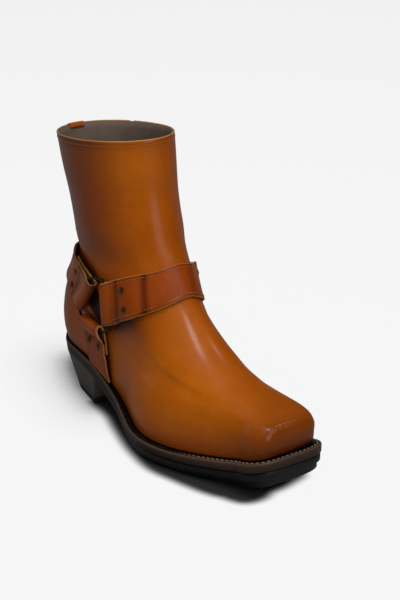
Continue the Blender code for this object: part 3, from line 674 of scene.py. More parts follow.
def upper_painted_shade(v, angle):
    """Painted shade in the gaps: inside the rings, beside the straps and in the joint with the welt."""
    a = from_toe(angle)
    turn = signed(angle)
    p = last(v, angle)
    above = np.clip(p[..., 2] - sole("feather", p[..., 0]), 0, None)
    gap = 1.2 + 1.3 * ease(30, 8, np.abs(turn)) + 3.2 * ease(4, -9, turn) * ease(-46, -20, turn)
    joint = 0.95 * (1 - ease(0.35, 1.15, above / gap))
    ring = 0.97 * (1 - ease(0.75, 1.15, np.hypot((a - 108.5) / 10.5, (v - 5.35) / 1.5)))
    back_top = edge_at(BACK_EDGES, a, 1)
    crescent = (0.8 * np.exp(-(np.clip(v - back_top, 0, None) / 0.34)**2) * (v > back_top - 0.6)
                * ease(86, 100, a) * (1 - ease(148, 176, a)))
    low = edge_at(INSTEP_EDGES, a, 0)
    under_strap = (0.9 * np.exp(-(np.clip(low - v, 0, None) / 0.4)**2) * (v < low + 0.6)
                   * ease(52, 78, a) * (a < 113))
    beside_stirrup = (0.75 * np.exp(-(np.clip(STIRRUP_ANGLES[1] - a, 0, None) / 1.2)**2) * (v < 4.2)
                      * (a < 123) * (a > 98))
    return np.clip(np.max((joint, ring, crescent, under_strap, beside_stirrup), axis=0), 0, 1)


def shell(name, rows, angles, outer_lift, inner_lift, mats, rim, attrs=None, slit=None):
    """Hollow wall open at both ends, with a rounded rim at the collar and, if asked, a slit.

    slit is (first angle, second angle, section at its foot). rim lists (share of wall, rise).
    """
    if slit:
        left, right, foot_v = slit
        inside = (angles > left - 0.6) & (angles < right + 0.6)
        angles = np.sort(np.concatenate((angles[~inside], (left, right))))
    n, count = len(angles), len(rows)
    v, angle = np.meshgrid(rows, angles, indexing="ij")
    outer = lifted(v, angle, outer_lift(v, angle))
    inner = lifted(v, angle, inner_lift(v, angle))
    up = unit(outer[-1] - outer[-2])
    rims = [outer[-1] + (inner[-1] - outer[-1]) * share + up * rise for share, rise in rim]
    inner[0, :, 2] = outer[0, :, 2]
    grid = np.concatenate((outer, np.stack(rims), inner[::-1]))
    end = len(grid) - 1
    a, foot = -1, end
    if slit:
        a, foot = int(np.argmin(np.abs(angles - left))), int(np.argmin(np.abs(rows - foot_v)))
    faces, wears = [], []
    for i in range(end):
        for j in range(n):
            if j == a and foot <= i < end - foot:
                continue
            k = (j + 1) % n
            faces.append((i * n + j, i * n + k, (i + 1) * n + k, (i + 1) * n + j))
            wears.append(1 if count - 1 <= i < count + len(rims) else (0 if i < count else 2))
    faces += ring_faces(end * n, 0, n)
    wears += [2] * n
    for i in range(foot, end // 2):
        m = end - i
        for j in (a, a + 1):
            cut = (i, i + 1, m - 1, m) if m - 1 > i + 1 else (i, i + 1, m)
            faces.append(tuple(row * n + j for row in cut))
            wears.append(0)
    if slit:
        faces.append((foot * n + a, foot * n + a + 1, (end - foot) * n + a + 1, (end - foot) * n + a))
        wears.append(0)
    store = {}
    for key, fn in (attrs or {}).items():
        values = fn(v, angle)
        store[key] = np.concatenate((values, np.repeat(values[-1:], len(rims), 0), values[::-1]))
    return piece(name, grid.reshape(-1, 3), faces, mats, wears, store)


def lining_face(v, angle):
    """Inner face of the lining, with the lap of its back seam."""
    seam = np.exp(-((angle - 192.0) / 1.1)**2) * ease(6, 8, v)
    waves = np.sin(np.radians(angle) * 9 + 1.3 * v) * np.sin(1.9 * v + np.radians(angle) * 3)
    return 0 * v - UPPER_WALL - 0.1 - 0.7 * seam - 0.25 * (1 + waves) * (1 - ease(12.3, 12.9, v))


def lining_seam_shade(v, angle):
    """Painted shade beside that lap."""
    return 0.7 * np.exp(-((angle - 193.8) / 0.5)**2) * ease(6, 8, v)


def make_upper():
    rows = np.linspace(0, COLLAR, 151)
    upper = shell("upper_leather", rows, round_angles(286), upper_lift, lambda v, a: 0 * v - LEATHER,
                  [COGNAC, RAW_EDGE, LINING], ((0.18, 0.35), (0.5, 0.5), (0.82, 0.35)),
                  {"burnish_and_shade": upper_burnish_and_shade, "pale": upper_pale_and_lit, "painted_shade": upper_painted_shade},
                  (*ZIP_SLIT, ZIP_FOOT))
    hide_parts("upper")
    rows = np.linspace(0.1, COLLAR - 0.005, 61)
    # The lining carries painted shade: darker deeper inside the shaft, lighter toward the collar, and beside the
    # seam lap.
    lining = shell("lining", rows, round_angles(180, 0.5), lambda v, a: 0 * v - LEATHER - LINING_GAP,
                   lining_face, [LINING] * 3, ((0.3, 0.1), (0.7, 0.1)),
                   {"burnish_and_shade": lambda v, a: 0.5 * ease(0.0, 1.0, 1 - (v - 10.5) / 2.5), "painted_shade": lining_seam_shade})


# Stitching and panels

def stitches(name, path, normal, pitch=3.3, length=2.5, radius=0.32, mat=THREAD, sink=0.12, dark=None):
    """A row of thread along a path that lies on a surface with those normals."""
    reach = np.concatenate(([0], np.cumsum(np.linalg.norm(np.diff(path, axis=0), axis=1))))
    count = int(reach[-1] // pitch)
    at = (np.arange(count) + 0.5) * reach[-1] / count
    spot = np.stack([np.interp(at, reach, path[:, k]) for k in range(3)], -1)
    ahead = np.stack([np.interp(at + 0.5, reach, path[:, k]) - np.interp(at - 0.5, reach, path[:, k])
                      for k in range(3)], -1)
    out = unit(np.stack([np.interp(at, reach, normal[:, k]) for k in range(3)], -1))
    ahead = unit(ahead - out * (ahead * out).sum(1, keepdims=True))
    side = np.cross(out, ahead)
    shape = ((-0.5, 0.35, -0.55), (-0.36, 0.85, 0.1), (-0.12, 1.0, 0.45), (0.12, 1.0, 0.45), (0.36, 0.85, 0.1),
             (0.5, 0.35, -0.55))
    m = 6
    block = []
    for along, fat, rise in shape:
        for j in range(m):
            turn = 2 * np.pi * j / m
            block.append(spot + ahead * along * length + side * (math.cos(turn) * fat * radius)
                         + out * ((math.sin(turn) * fat + rise) * radius - sink))
    verts = np.stack(block, 1)
    per = len(shape) * m
    one = [tuple(range(m))[::-1], tuple(range(per - m, per))]
    for i in range(len(shape) - 1):
        one += ring_faces(i * m, (i + 1) * m, m)
    faces = [tuple(k * per + i for i in f) for k in range(count) for f in one]
    shade = None if dark is None else {"burnish_and_shade": np.repeat(dark(spot), per)}
    return piece(name, verts.reshape(-1, 3), faces, [mat], attrs=shade)


def skin_path(v, angle, lift=0.0):
    """Points and normals along a line of sections and angles on the outer face."""
    p = lifted(v, angle, lift)
    return p, unit(lifted(v, angle, lift + 1.0) - p)


COLLAR_SEAM = 12.84


def make_upper_stitching():
    angle = np.linspace(248.6, 238.9 + 360, 240)
    row = stitches("collar_stitching", *skin_path(COLLAR_SEAM, np.mod(angle, 360)))
    v = np.linspace(ZIP_FOOT + 0.1, 12.8, 120)
    for word, a in (("front", 249.6), ("back", 237.9)):
        row = stitches(f"zip_{word}_stitching", *skin_path(v, a))


STAY_HALF = 8.0
STAY_THICK = 0.9
STAY_FOOT = 7.35
STAY_LAP = 12.88
# Half of a sewn edge: share of the half width, share of the thickness
SEWN_EDGE = ((1.0, 0.0), (0.995, 0.5), (0.97, 0.86), (0.93, 1.0), (0.80, 1.0), (0.755, 0.72), (0.71, 1.0),
             (0.35, 1.08), (0.0, 1.1))


def stay_angle(v, share):
    """Angle at a share of the back stay's half width."""
    turn = np.linspace(0, 30, 61)
    reach = np.abs(last(np.full_like(turn, v), 180 + turn)[:, 1])
    return 180 + np.sign(share) * np.interp(np.abs(share) * STAY_HALF, reach, turn)


def make_back_stay():
    """Strip over the back seam, turned over the rim as a lap."""
    cross = [(-w, h) for w, h in SEWN_EDGE] + [(w, h) for w, h in SEWN_EDGE[-2::-1]]
    cross += [(0.5, 0.0), (0.0, 0.0), (-0.5, 0.0)]
    shares = np.array([w for w, _ in cross])
    thick = np.array([h for _, h in cross]) * STAY_THICK
    rows = []
    for v in np.linspace(STAY_FOOT, COLLAR, 60):
        a = stay_angle(v, shares)
        rows.append(lifted(np.full_like(a, v), a, upper_lift(np.full_like(a, v), a) + 0.05 + thick))
    a = stay_angle(COLLAR, shares)
    top = np.full_like(a, COLLAR)
    deep = UPPER_WALL + 0.95
    middle = lifted(top, a, -deep / 2)
    out = unit(lifted(top, a, 1.0) - lifted(top, a, 0.0))
    rise = unit(last(top, a) - last(top - 0.1, a))
    for t in np.radians((20, 50, 80, 110, 140, 165)):
        wide = (deep / 2 + thick + 0.05)[:, None]
        rows.append(middle + out * math.cos(t) * wide + rise * (math.sin(t) * (0.6 * thick + 0.6)[:, None]))
    for v in np.linspace(COLLAR, STAY_LAP, 4):
        a = stay_angle(v, shares)
        rows.append(lifted(np.full_like(a, v), a, -deep - 0.05 - thick))
    n = len(cross)
    faces = []
    for i in range(len(rows) - 1):
        faces += ring_faces(i * n, (i + 1) * n, n)
    faces += [tuple(range(n)), tuple(range((len(rows) - 1) * n, len(rows) * n))]
    stay = piece("back_stay", np.concatenate(rows), faces, [COGNAC])
    v = np.linspace(STAY_FOOT + 0.2, COLLAR - 0.1, 90)
    for word, share in (("outer", -0.755), ("inner", 0.755)):
        a = np.array([stay_angle(x, share) for x in v])
        row = stitches(f"back_stay_{word}_stitching", *skin_path(v, a, 0.68 * STAY_THICK), sink=0.0)


# Lower edge of the zip panel on the inner side, as (angle from the toe, section)
PANEL_EDGE = ((43, 7.3), (47, 6.95), (53, 6.4), (60, 5.75), (67, 5.35), (76, 5.1), (86, 4.85), (97, 4.55),
              (112, 4.2))
PANEL_THICK = 0.75


def make_zip_panel():
    """Patch at the foot of the zip, sewn down along its rounded lower edge."""
    t = np.linspace(0, 1, 90)
    knots = np.linspace(0, 1, len(PANEL_EDGE))
    a = smooth(knots, [k[0] for k in PANEL_EDGE], t)
    low = smooth(knots, [k[1] for k in PANEL_EDGE], t)
    high = np.maximum(edge_at(INSTEP_EDGES, a, 0) + 0.45, low + 0.3)
    steps = ((0.0, 0.0), (0.004, 0.5), (0.02, 0.88), (0.045, 1.0), (0.10, 1.0), (0.125, 0.75), (0.15, 1.0),
             (0.4, 1.05), (0.7, 1.0), (1.0, 0.9), (1.0, 0.0), (0.5, 0.0))
    rows = []
    for share, h in steps:
        v = low + (high - low) * share
        rows.append(lifted(v, 360 - a, upper_lift(v, 360 - a) + 0.03 + h * PANEL_THICK))
    n = len(t)
    m = len(steps)
    verts = np.stack(rows, 1).reshape(-1, 3)
    faces = []
    for i in range(n - 1):
        faces += ring_faces(i * m, (i + 1) * m, m)
    faces += [tuple(range(m)), tuple(range((n - 1) * m, n * m))]
    v = np.stack([low + (high - low) * share for share, _ in steps], 1)
    angle = np.repeat(360 - a[:, None], m, 1)
    # The panel takes the upper's burnishing, painted shade and painted light.
    panel = piece("zip_panel", verts, faces, [COGNAC],
                  attrs={"burnish_and_shade": upper_burnish_and_shade(v, angle), "pale": 0.6 * upper_pale_and_lit(v, angle)})
    v = low + (high - low) * 0.125
    path, out = skin_path(v, 360 - a, upper_lift(v, 360 - a) + 0.8 * PANEL_THICK)
    row = stitches("zip_panel_stitching", path, out, sink=0.0)


# Harness

def strap_lane(edges, fold, end, stand):
    """Function from (distance from the fold, share of width) to (section, angle, extra lift)."""
    middle = fold[len(fold) // 2]
    shares = np.linspace(0, 1, len(fold))
    walk = np.linspace(middle, end, 120)
    line = lifted(edge_at(edges, walk, 0.5), walk, RUN_LAYER)
    reach = np.concatenate(([0], np.cumsum(np.linalg.norm(np.diff(line, axis=0), axis=1))))

    def lane(s, w):
        angle = np.interp(s, reach, walk)
        lean = (smooth(shares, fold, w) - middle) * np.clip(1 - (s - 12.0) / 45.0, 0, 1)
        angle = angle + lean
        off = smooth(*zip(*stand), angle) * np.clip(w, 0, 1.1)
        return edge_at(edges, angle, w), angle, off

    return lane, reach[-1]


def side_angle(side, angle):
    return angle if side == "outer" else 360.0 - angle


instep_lane, instep_reach = strap_lane(INSTEP_EDGES, INSTEP_FOLD, 0.0, INSTEP_STAND)
back_lane, back_reach = strap_lane(BACK_EDGES, BACK_FOLD, 180.0, BACK_STAND)
stirrup_middle = sum(STIRRUP_ANGLES) / 2
stirrup_walk = np.linspace(sum(STIRRUP_FOLD) / 2, STIRRUP_FOOT, 60)
stirrup_steps = np.concatenate(([0], np.cumsum(np.linalg.norm(
    np.diff(lifted(stirrup_walk, stirrup_middle, RUN_LAYER), axis=0), axis=1))))
STIRRUP_REACH = float(stirrup_steps[-1])


def stirrup_lane(s, w):
    v = np.interp(s, stirrup_steps, stirrup_walk)
    fade = np.clip((STIRRUP_REACH - s) / (STIRRUP_REACH - 12.0), 0, 1)
    slope = (STIRRUP_FOLD[1] - STIRRUP_FOLD[0]) * (w - 0.5) * fade
    return v + slope, STIRRUP_ANGLES[0] + (STIRRUP_ANGLES[1] - STIRRUP_ANGLES[0]) * w, 0.0 * w


BEND_AT = FOLD_RADIUS + STRAP_THICK / 2
FOLD_BEND = [(BEND_AT - FOLD_RADIUS * math.sin(a), WIRE_LIFT + FOLD_RADIUS * math.cos(a))
             for a in np.radians(np.arange(0, 181, 15))]


# Middle line of a wrapped strap from its loop to its run: distance from the fold, lift
STRAP_RISE = ((6.8, OUTER_LAYER), (10, 7.5), (13.5, 5.8), (18, LAID_LAYER + 0.3), (24, LAID_LAYER),
              (28, LAID_LAYER), (33, LAID_LAYER), (38, LAID_LAYER - 0.5), (45, RUN_LAYER + 0.3), (52, RUN_LAYER))


def fold_path(length, tail):
    """Middle line of a folded end as (distance from the fold, lift): run, bend, tail."""
    run = [(s, RUN_LAYER) for s in np.linspace(length, STRAP_RISE[-1][0], 24)]
    tail_run = [(s, INNER_LAYER) for s in (8, 11, 14, 20.5, 27, tail)]
    return run + list(STRAP_RISE[-2::-1]) + FOLD_BEND + tail_run


# Cross section of a strap: share of the width, share of half the thickness, 1 on the cut edges
STRAP_SECTION = (
    (0.0, -0.55, 1), (0.0, 0.0, 1), (0.0, 0.55, 1), (0.012, 0.86, 1), (0.04, 1.0, 0), (0.075, 1.0, 0),
    (0.098, 0.84, 0), (0.12, 1.0, 0), (0.2, 1.04, 0), (0.35, 1.07, 0), (0.5, 1.08, 0), (0.65, 1.07, 0),
    (0.8, 1.04, 0), (0.88, 1.0, 0), (0.902, 0.84, 0), (0.925, 1.0, 0), (0.96, 1.0, 0), (0.988, 0.86, 1),
    (1.0, 0.55, 1), (1.0, 0.0, 1), (1.0, -0.55, 1), (0.988, -0.86, 1), (0.96, -1.0, 0), (0.7, -1.0, 0),
    (0.3, -1.0, 0), (0.04, -1.0, 0), (0.012, -0.86, 1),
)


def strap(name, path, place, pinch, edge, dent=None, dark=None):
    """Strap of leather along a path of (side, distance, lift, sign), pinched behind its loops.

    edge is the share of painted shade on its cut edges.
    """
    sides = [p[0] for p in path]
    s = np.array([p[1] for p in path], float)
    o = np.array([p[2] for p in path], float)
    sign = np.array([p[3] for p in path], float)
    way = np.gradient(np.where(sign > 0, s, 2 * s.max() - s))
    climb = np.gradient(o)
    size = np.hypot(way, climb)
    ns, no = -climb / size * sign, way / size
    w = np.array([c[0] for c in STRAP_SECTION])
    h = np.array([c[1] for c in STRAP_SECTION]) * STRAP_THICK / 2
    cut = np.array([c[2] for c in STRAP_SECTION])
    m, n = len(w), len(path)
    verts, darkening, light, deep = [], [], [], []
    for i in range(n):
        ragged = 0.004 * math.sin(i * 1.7) + 0.003 * math.sin(i * 0.61 + 1)
        share = w + np.where(cut > 0, ragged, 0)
        sunk = -0.55 * math.exp(-((s[i] - pinch) / 1.7)**2) if o[i] > INNER_LAYER + 0.1 else 0.0
        if dent is not None:
            sunk = sunk + dent(sides[i], s[i], w)
        thick = h + np.where(h > 0, sunk, 0)
        verts.append(place(sides[i], s[i] + ns[i] * thick, share, o[i] + no[i] * thick))
        # Darker toward the long edges, with painted shade in the pinch groove behind the loop.
        shade = 0.55 * np.exp(-np.minimum(w, 1 - w) / 0.07) + 0.7 * math.exp(-((s[i] - pinch) / 2.2)**2)
        darkening.append(shade + (0 if dark is None else dark(sides[i], s[i], w)))
        # Painted highlight on the crest of the loop.
        light.append(0 * w + 0.9 * math.exp(-((s[i] - 0.5 * pinch) / 5.0)**2))
        # Painted shade on the cut edges, as much as edge gives.
        deep.append(np.where(cut > 0, edge, 0.0))
    faces, wears = [], []
    for i in range(n - 1):
        faces += ring_faces(i * m, (i + 1) * m, m)
        wears += [1 if cut[j] and cut[(j + 1) % m] else 0 for j in range(m)]
    for base in (0, (n - 1) * m):
        faces.append(tuple(base + j for j in (*range(3, m), 0, 1, 2)))
        wears.append(1)
    return piece(name, np.concatenate(verts), faces, [STRAP, RAW_EDGE], wears,
                 {"burnish_and_shade": np.concatenate(darkening), "pale": np.concatenate(light), "painted_shade": np.concatenate(deep)})


def smooth_path(points, count):
    """Path of (distance, lift) in even steps."""
    return [tuple(p) for p in resample(points, count)]


def wrapped_strap(name, lane, reach, edge, dent=None, dark=None):
    """Strap that is folded round both rings, with its two rows of stitches."""
    half = smooth_path(fold_path(reach, STRAP_TAIL), 92)
    path = [("outer", s, o, 1.0) for s, o in half[::-1]] + [("inner", s, o, -1.0) for s, o in half[1:]]

    def place(side, s, w, lift):
        v, angle, off = lane(s, w)
        return lifted(v, side_angle(side, angle), lift + off)

    obj = strap(f"{name}_leather", path, place, 20.5, edge, dent, dark)
    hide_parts(name)
    for word, w in (("lower", 0.098), ("upper", 0.902)):
        spots, outs = [], []
        for side, run in (("outer", np.linspace(7, reach, 70)), ("inner", np.linspace(reach, 7, 70)[1:])):
            lift = np.interp(run, *zip(*STRAP_RISE))
            v, angle, off = lane(run, np.full_like(run, w))
            p = lifted(v, side_angle(side, angle), lift + off + STRAP_THICK / 2 * 0.84)
            spots.append(p)
            outs.append(unit(lifted(v, side_angle(side, angle), lift + off + 3) - p))
        row = stitches(f"{name}_{word}_stitching", np.concatenate(spots), np.concatenate(outs), sink=-0.02)


def stirrup(side):
    """Strap from the ring down to the welt, folded round the ring."""
    end = STIRRUP_REACH
    outer_run = [(end, RUN_LAYER), (0.9 * end, RUN_LAYER + 0.2), (29, LAID_LAYER - 0.7), (24, LAID_LAYER),
                 (20, LAID_LAYER), (16, LAID_LAYER), (13, 5.6), (9.8, 7.5), (6.8, OUTER_LAYER)]
    points = outer_run + FOLD_BEND + [(s, INNER_LAYER) for s in (9, 12, 16, STIRRUP_TAIL)]
    path = [(side, s, o, 1.0) for s, o in smooth_path(points, 84)]

    def place(key, s, w, lift):
        v, angle, _ = stirrup_lane(s, w)
        return lifted(v, side_angle(key, angle), lift)

    name = f"{side}_stirrup_strap"
    # Its cut edges carry a little painted shade.
    obj = strap(f"{name}_leather", path, place, 14.5, 0.15)
    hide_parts(name)
    for word, w in (("back", 0.12), ("front", 0.88)):
        run = np.linspace(7, end - 1, 60)
        lift = np.interp(run, *zip(*outer_run[::-1]))
        v, angle, _ = stirrup_lane(run, np.full_like(run, w))
        p = lifted(v, side_angle(side, angle), lift + STRAP_THICK / 2)
        out = unit(lifted(v, side_angle(side, angle), lift + 3) - p)
        row = stitches(f"{name}_{word}_stitching", p, out, sink=0.05)


def tube(name, line, radius, mat, sides=12):
    """Round wire along a closed line."""
    n = len(line)
    ahead = unit(np.roll(line, -1, 0) - np.roll(line, 1, 0))
    flat = unit(np.cross(line[n // 3] - line[0], line[2 * n // 3] - line[0]))
    side = unit(np.cross(ahead, flat))
    rise = np.cross(side, ahead)
    verts = np.stack([line + radius * (math.cos(t) * side + math.sin(t) * rise)
                      for t in 2 * np.pi * np.arange(sides) / sides], 1).reshape(-1, 3)
    faces = []
    for i in range(n):
        faces += ring_faces(i * sides, (i + 1) % n * sides, sides)
    return piece(name, verts, faces, [mat])


def ring(side):
    """Three sided wire ring that lies in the folds of the three straps."""

    def on(lane, w):
        v, angle, off = lane(BEND_AT + RING_SLACK, w)
        return lifted(v, side_angle(side, angle), WIRE_LIFT + off)

    ways = ((instep_lane, (1.04, -0.04)), (stirrup_lane, (1.04, -0.04)), (back_lane, (-0.04, 1.04)))
    sides = [[on(lane, w) for w in np.linspace(*ws, 7)] for lane, ws in ways]
    middle = np.mean([p for part in sides for p in part], axis=0)
    line = []
    for k in range(3):
        line += sides[k]
        a, b = sides[k][-1], sides[(k + 1) % 3][0]
        out = unit((a + b) / 2 - middle)
        line += [a + (b - a) * t + out * RING_CORNER for t in (0.25, 0.75)]
    name = f"{side}_harness_ring"
    obj = tube(f"{name}_wire", resample(line, 132, True), WIRE_RADIUS, GUNMETAL)
    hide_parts(name)


def frame_at(v, angle, lift):
    """Origin, direction along the strap or zip, direction across, and outward normal."""
    p = lifted(v, angle, lift)
    n = unit(lifted(v, angle, lift + 1.0) - p)
    up = lifted(v + 0.2, angle, lift) - p
    up = unit(up - n * (up @ n))
    return p, up, np.cross(up, n), n


RIVET_PROFILE = ((0.92, -0.25), (1.06, 0.1), (1.06, 0.4), (0.96, 0.62), (0.84, 0.6), (0.74, 0.78), (0.55, 1.08),
                 (0.3, 1.26), (0.08, 1.32))


def rivet(name, v, angle, lift):
    p, up, across, n = frame_at(v, angle, lift)
    m = 22
    verts = [p + RIVET_RADIUS * r * (math.cos(t) * up + math.sin(t) * across) + n * h
             for r, h in RIVET_PROFILE for t in 2 * np.pi * np.arange(m) / m]
    faces = [tuple(range(m)), tuple(range(len(verts) - m, len(verts)))]
    for i in range(len(RIVET_PROFILE) - 1):
        faces += ring_faces(i * m, (i + 1) * m, m)
    obj = piece(f"{name}_cap", np.array(verts), faces, [BRASS])
    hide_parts(name)


def make_rivets():
    seat = STRAP_THICK / 2 + RIVET_GAP
    for side in ("outer", "inner"):
        for label, lane, s in (("instep_strap", instep_lane, 28.0), ("back_strap", back_lane, 28.0),
                               ("stirrup", stirrup_lane, 20.0)):
            for word, w in (("low", 0.27), ("high", 0.73)):
                v, angle, off = lane(s, w)
                rivet(f"{side}_{label}_rivet_{word}", float(v), float(side_angle(side, angle)),
                      float(LAID_LAYER + off) + seat)


def instep_dent(side, s, w):
    """Crease across the instep strap."""
    if side == "inner":
        return -0.45 * np.exp(-((s - 74 + 10 * w) / 3.0)**2)
    return -0.7 * np.exp(-((s - 43 - 8 * w) / 2.4)**2) + 0.55 * np.exp(-((s - 58 - 8 * w) / 8.0)**2)


def instep_crease_shade(side, s, w):
    """Painted shade in that crease."""
    if side == "inner":
        return 0.3 * np.exp(-((s - 74 + 10 * w) / 4.0)**2)
    return 0.75 * np.exp(-((s - 43 - 8 * w) / 3.0)**2)


def make_harness():
    wrapped_strap("instep_strap", instep_lane, instep_reach, 0.0, instep_dent, instep_crease_shade)
    # The back strap's cut edges carry painted shade.
    wrapped_strap("back_strap", back_lane, back_reach, 0.6)
    for side in ("outer", "inner"):
        stirrup(side)
        ring(side)
    make_rivets()


# Sole and heel

SOLE_COUNT = 240


def plan_loop(outset, count=SOLE_COUNT):
    """Outline of the feather line in plan, moved outward by a function of x."""
    a = round_angles(count, 0.3)
    dense = last(0.0, a)[:, :2]
    step = 1.5
    t = last(0.0, a + step)[:, :2] - last(0.0, a - step)[:, :2]
    nrm = unit(np.stack((t[:, 1], -t[:, 0]), -1))
    nrm = unit(sum(np.roll(nrm, k, 0) for k in range(-3, 4)))
    if ((dense - (140.0, 0.0)) * nrm).sum() < 0:
        nrm = -nrm
    return dense + nrm * outset(dense[:, 0])[:, None]


def ledge(inset):
    return lambda x: sole("ledge", x) - inset


def lower_band(inset):
    """Outset of the outsole's lower band, which steps in."""
    return lambda x: sole("ledge", x) - OUTSOLE_INSET - sole("step", x) - inset


def welt_top(x):
    return sole("feather", x) - SEAT_GAP


def welt_foot(x):
    return welt_top(x) - sole("welt", x)


def outsole_top(x):
    return welt_foot(x) - SEAT_GAP


def under(x):
    return np.maximum(sole("under", x), 0.0)


def step_height(x):
    return np.maximum(outsole_top(x) - sole("band", x), under(x) + 1.4)


def stacked(rows):
    """Loops from rows of (outset, height as a function of x), top row first, and faces with a top cap."""
    n = SOLE_COUNT
    verts = []
    for outset, height in rows:
        p = plan_loop(outset)
        verts.append(np.column_stack((p, height(p[:, 0]))))
    faces = ladder_faces(0, n)
    for i in range(len(rows) - 1):
        faces += ring_faces(i * n, (i + 1) * n, n)
    return verts, faces


def layer(name, rows, mat, attrs):
    """Sole layer closed above and below. attrs are functions of x."""
    verts, faces = stacked(rows)
    faces += ladder_faces((len(rows) - 1) * SOLE_COUNT, SOLE_COUNT)
    x = np.array([v[:, 0] for v in verts])
    return piece(name, np.concatenate(verts), faces, [mat], attrs={key: fn(x) for key, fn in attrs.items()})


def make_sole():
    r = WELT_ROUND
    groove = 0.55
    rows = (
        (lambda x: 0 * x - 6.0, welt_top),
        (lambda x: 0 * x + 0.2, welt_top),
        (lambda x: groove * sole("ledge", x) - 0.55, lambda x: welt_top(x) + 0.02),
        (lambda x: groove * sole("ledge", x), lambda x: welt_top(x) - 0.35),
        (lambda x: groove * sole("ledge", x) + 0.55, lambda x: welt_top(x) + 0.02),
        (ledge(r * 0.95), lambda x: welt_top(x) - 0.02 * r),
        (ledge(r * 0.62), lambda x: welt_top(x) - 0.10 * r),
        (ledge(r * 0.25), lambda x: welt_top(x) - 0.45 * r),
        (ledge(0.06), lambda x: welt_top(x) - 0.95 * r),
        (ledge(0.0), lambda x: welt_top(x) - 1.5 * r),
        (ledge(0.0), lambda x: welt_foot(x) + 1.1),
        (ledge(0.25), lambda x: welt_foot(x) + 0.45),
        (ledge(0.8), welt_foot),
        (lambda x: 0 * x - 6.0, welt_foot),
    )
    # Painted light on the welt, row by row: near-black painted shadow on its top, in the groove and toward its
    # underside, and a painted highlight along the rounded rim.
    darkening = np.array((1, 1, 1, 1, 0.95, 0.55, 0.05, 0.0, 0.05, 0.2, 0.45, 0.8, 1.0, 1.0))
    pale = np.array((0, 0, 0, 0, 0, 0.3, 1, 0.7, 0.3, 0.2, 0, 0, 0, 0))
    # The welt's side is also darker away from the toe.
    welt = layer("welt_strip", rows, WELT, {
        "burnish_and_shade": lambda x: np.clip(darkening[:, None] + 0.55 * (1 - ease(170, 262, x)) * (1 - pale[:, None]), 0, 1),
        "pale": lambda x: pale[:, None] + 0 * x})
    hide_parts("welt")
    loop = plan_loop(lambda x: groove * sole("ledge", x), 900)
    path = np.column_stack((loop, welt_top(loop[:, 0]) - 0.3))
    start = int(np.argmin(loop[:, 0]))
    path = np.roll(path, -start, 0)
    path = path[path[:, 0] > 62]
    # The welt stitches carry painted shade away from the toe, where the ledge lies in shadow.
    row = stitches("welt_stitching", path, np.tile((0.0, 0.0, 1.0), (len(path), 1)), 4.4, 3.6, 0.48, WELT_THREAD,
                   sink=-0.12, dark=lambda spot: 1 - ease(205, 240, spot[:, 0]))
    e = OUTSOLE_INSET
    rows = [
        (lambda x: 0 * x - 6.0, outsole_top),
        (ledge(e + 0.9), outsole_top),
        (ledge(e + 0.35), lambda x: outsole_top(x) - 0.25),
        (ledge(e), lambda x: outsole_top(x) - 0.9),
        (ledge(e), lambda x: step_height(x) + 0.9),
        (ledge(e + 0.25), lambda x: step_height(x) + 0.35),
        (ledge(e + 0.7), step_height),
        (lower_band(-0.2), lambda x: step_height(x) - 0.1),
        (lower_band(0.0), lambda x: step_height(x) - 0.4),
        (lower_band(0.0), lambda x: np.minimum(under(x) + 0.8, step_height(x) - 0.5)),
        (lower_band(OUTSOLE_BEVEL), under),
    ]
    outsole = tread(rows)
    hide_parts("outsole")


TREAD_DEPTH = 0.9


def tread(rows):
    """Outsole with shallow bars cut up into its underside."""
    n = SOLE_COUNT
    verts, faces = stacked(rows)
    edge = (len(rows) - 1) * n
    half = n // 2
    shares = (0.05, 0.08, 0.3, 0.47, 0.5, 0.53, 0.7, 0.92, 0.95)
    m = len(shares)
    rim = verts[-1]
    inner = []
    for i in range(1, half):
        a, b = rim[i], rim[n - i]
        for k, share in enumerate(shares):
            p = a + (b - a) * share
            x = p[0]
            in_bar = i % 4 < 2 and k not in (0, m // 2, m - 1)
            cut = TREAD_DEPTH * (1 - ease(238, 246, x)) * ease(140, 150, x) if in_bar else 0.0
            inner.append((x, p[1], float(under(np.array(x))) + cut))
    base = edge + n
    verts.append(np.array(inner))
    for i in range(1, half - 1):
        r0, r1 = base + (i - 1) * m, base + i * m
        faces.append((edge + i, edge + i + 1, r1, r0))
        for k in range(m - 1):
            faces.append((r0 + k, r1 + k, r1 + k + 1, r0 + k + 1))
        faces.append((edge + n - i, r0 + m - 1, r1 + m - 1, edge + n - i - 1))
    faces.append((edge, edge + 1, *(base + k for k in range(m)), edge + n - 1))
    last_row = base + (half - 2) * m
    faces.append((edge + half, edge + half + 1, *(last_row + k for k in reversed(range(m))), edge + half - 1))
    return piece("rubber_outsole", np.concatenate(verts), faces, [SOLE_RUBBER])


def heel_loop(level, swell=0.0):
    """Heel outline at a level from 0 at the seat to 1 at the floor: breast, back, breast."""
    loop = plan_loop(ledge(OUTSOLE_INSET + 0.3 - swell))
    breast = HEEL_BREAST_TOP + (HEEL_BREAST_FOOT - HEEL_BREAST_TOP) * level
    keep = [i for i in range(SOLE_COUNT) if loop[i, 0] < HEEL_BREAST_TOP - 1.5]
    side = [loop[i] for i in keep]

    def at_breast(i, j):
        t = (HEEL_BREAST_TOP - loop[i, 0]) / (loop[j, 0] - loop[i, 0])
        return loop[i] + t * (loop[j] - loop[i])

    pts = np.array([at_breast(keep[0], keep[0] - 1)] + side + [at_breast(keep[-1], keep[-1] + 1)])
    x = breast + (pts[:, 0] - HEEL_BREAST_TOP) * (1 - HEEL_BACK_TAPER * level)
    narrow = HEEL_SIDE_TAPER + HEEL_BACK_NARROW * (1 - pts[:, 0] / HEEL_BREAST_TOP)
    y = pts[:, 1] * (1 - narrow * level)
    return np.column_stack((x, y))


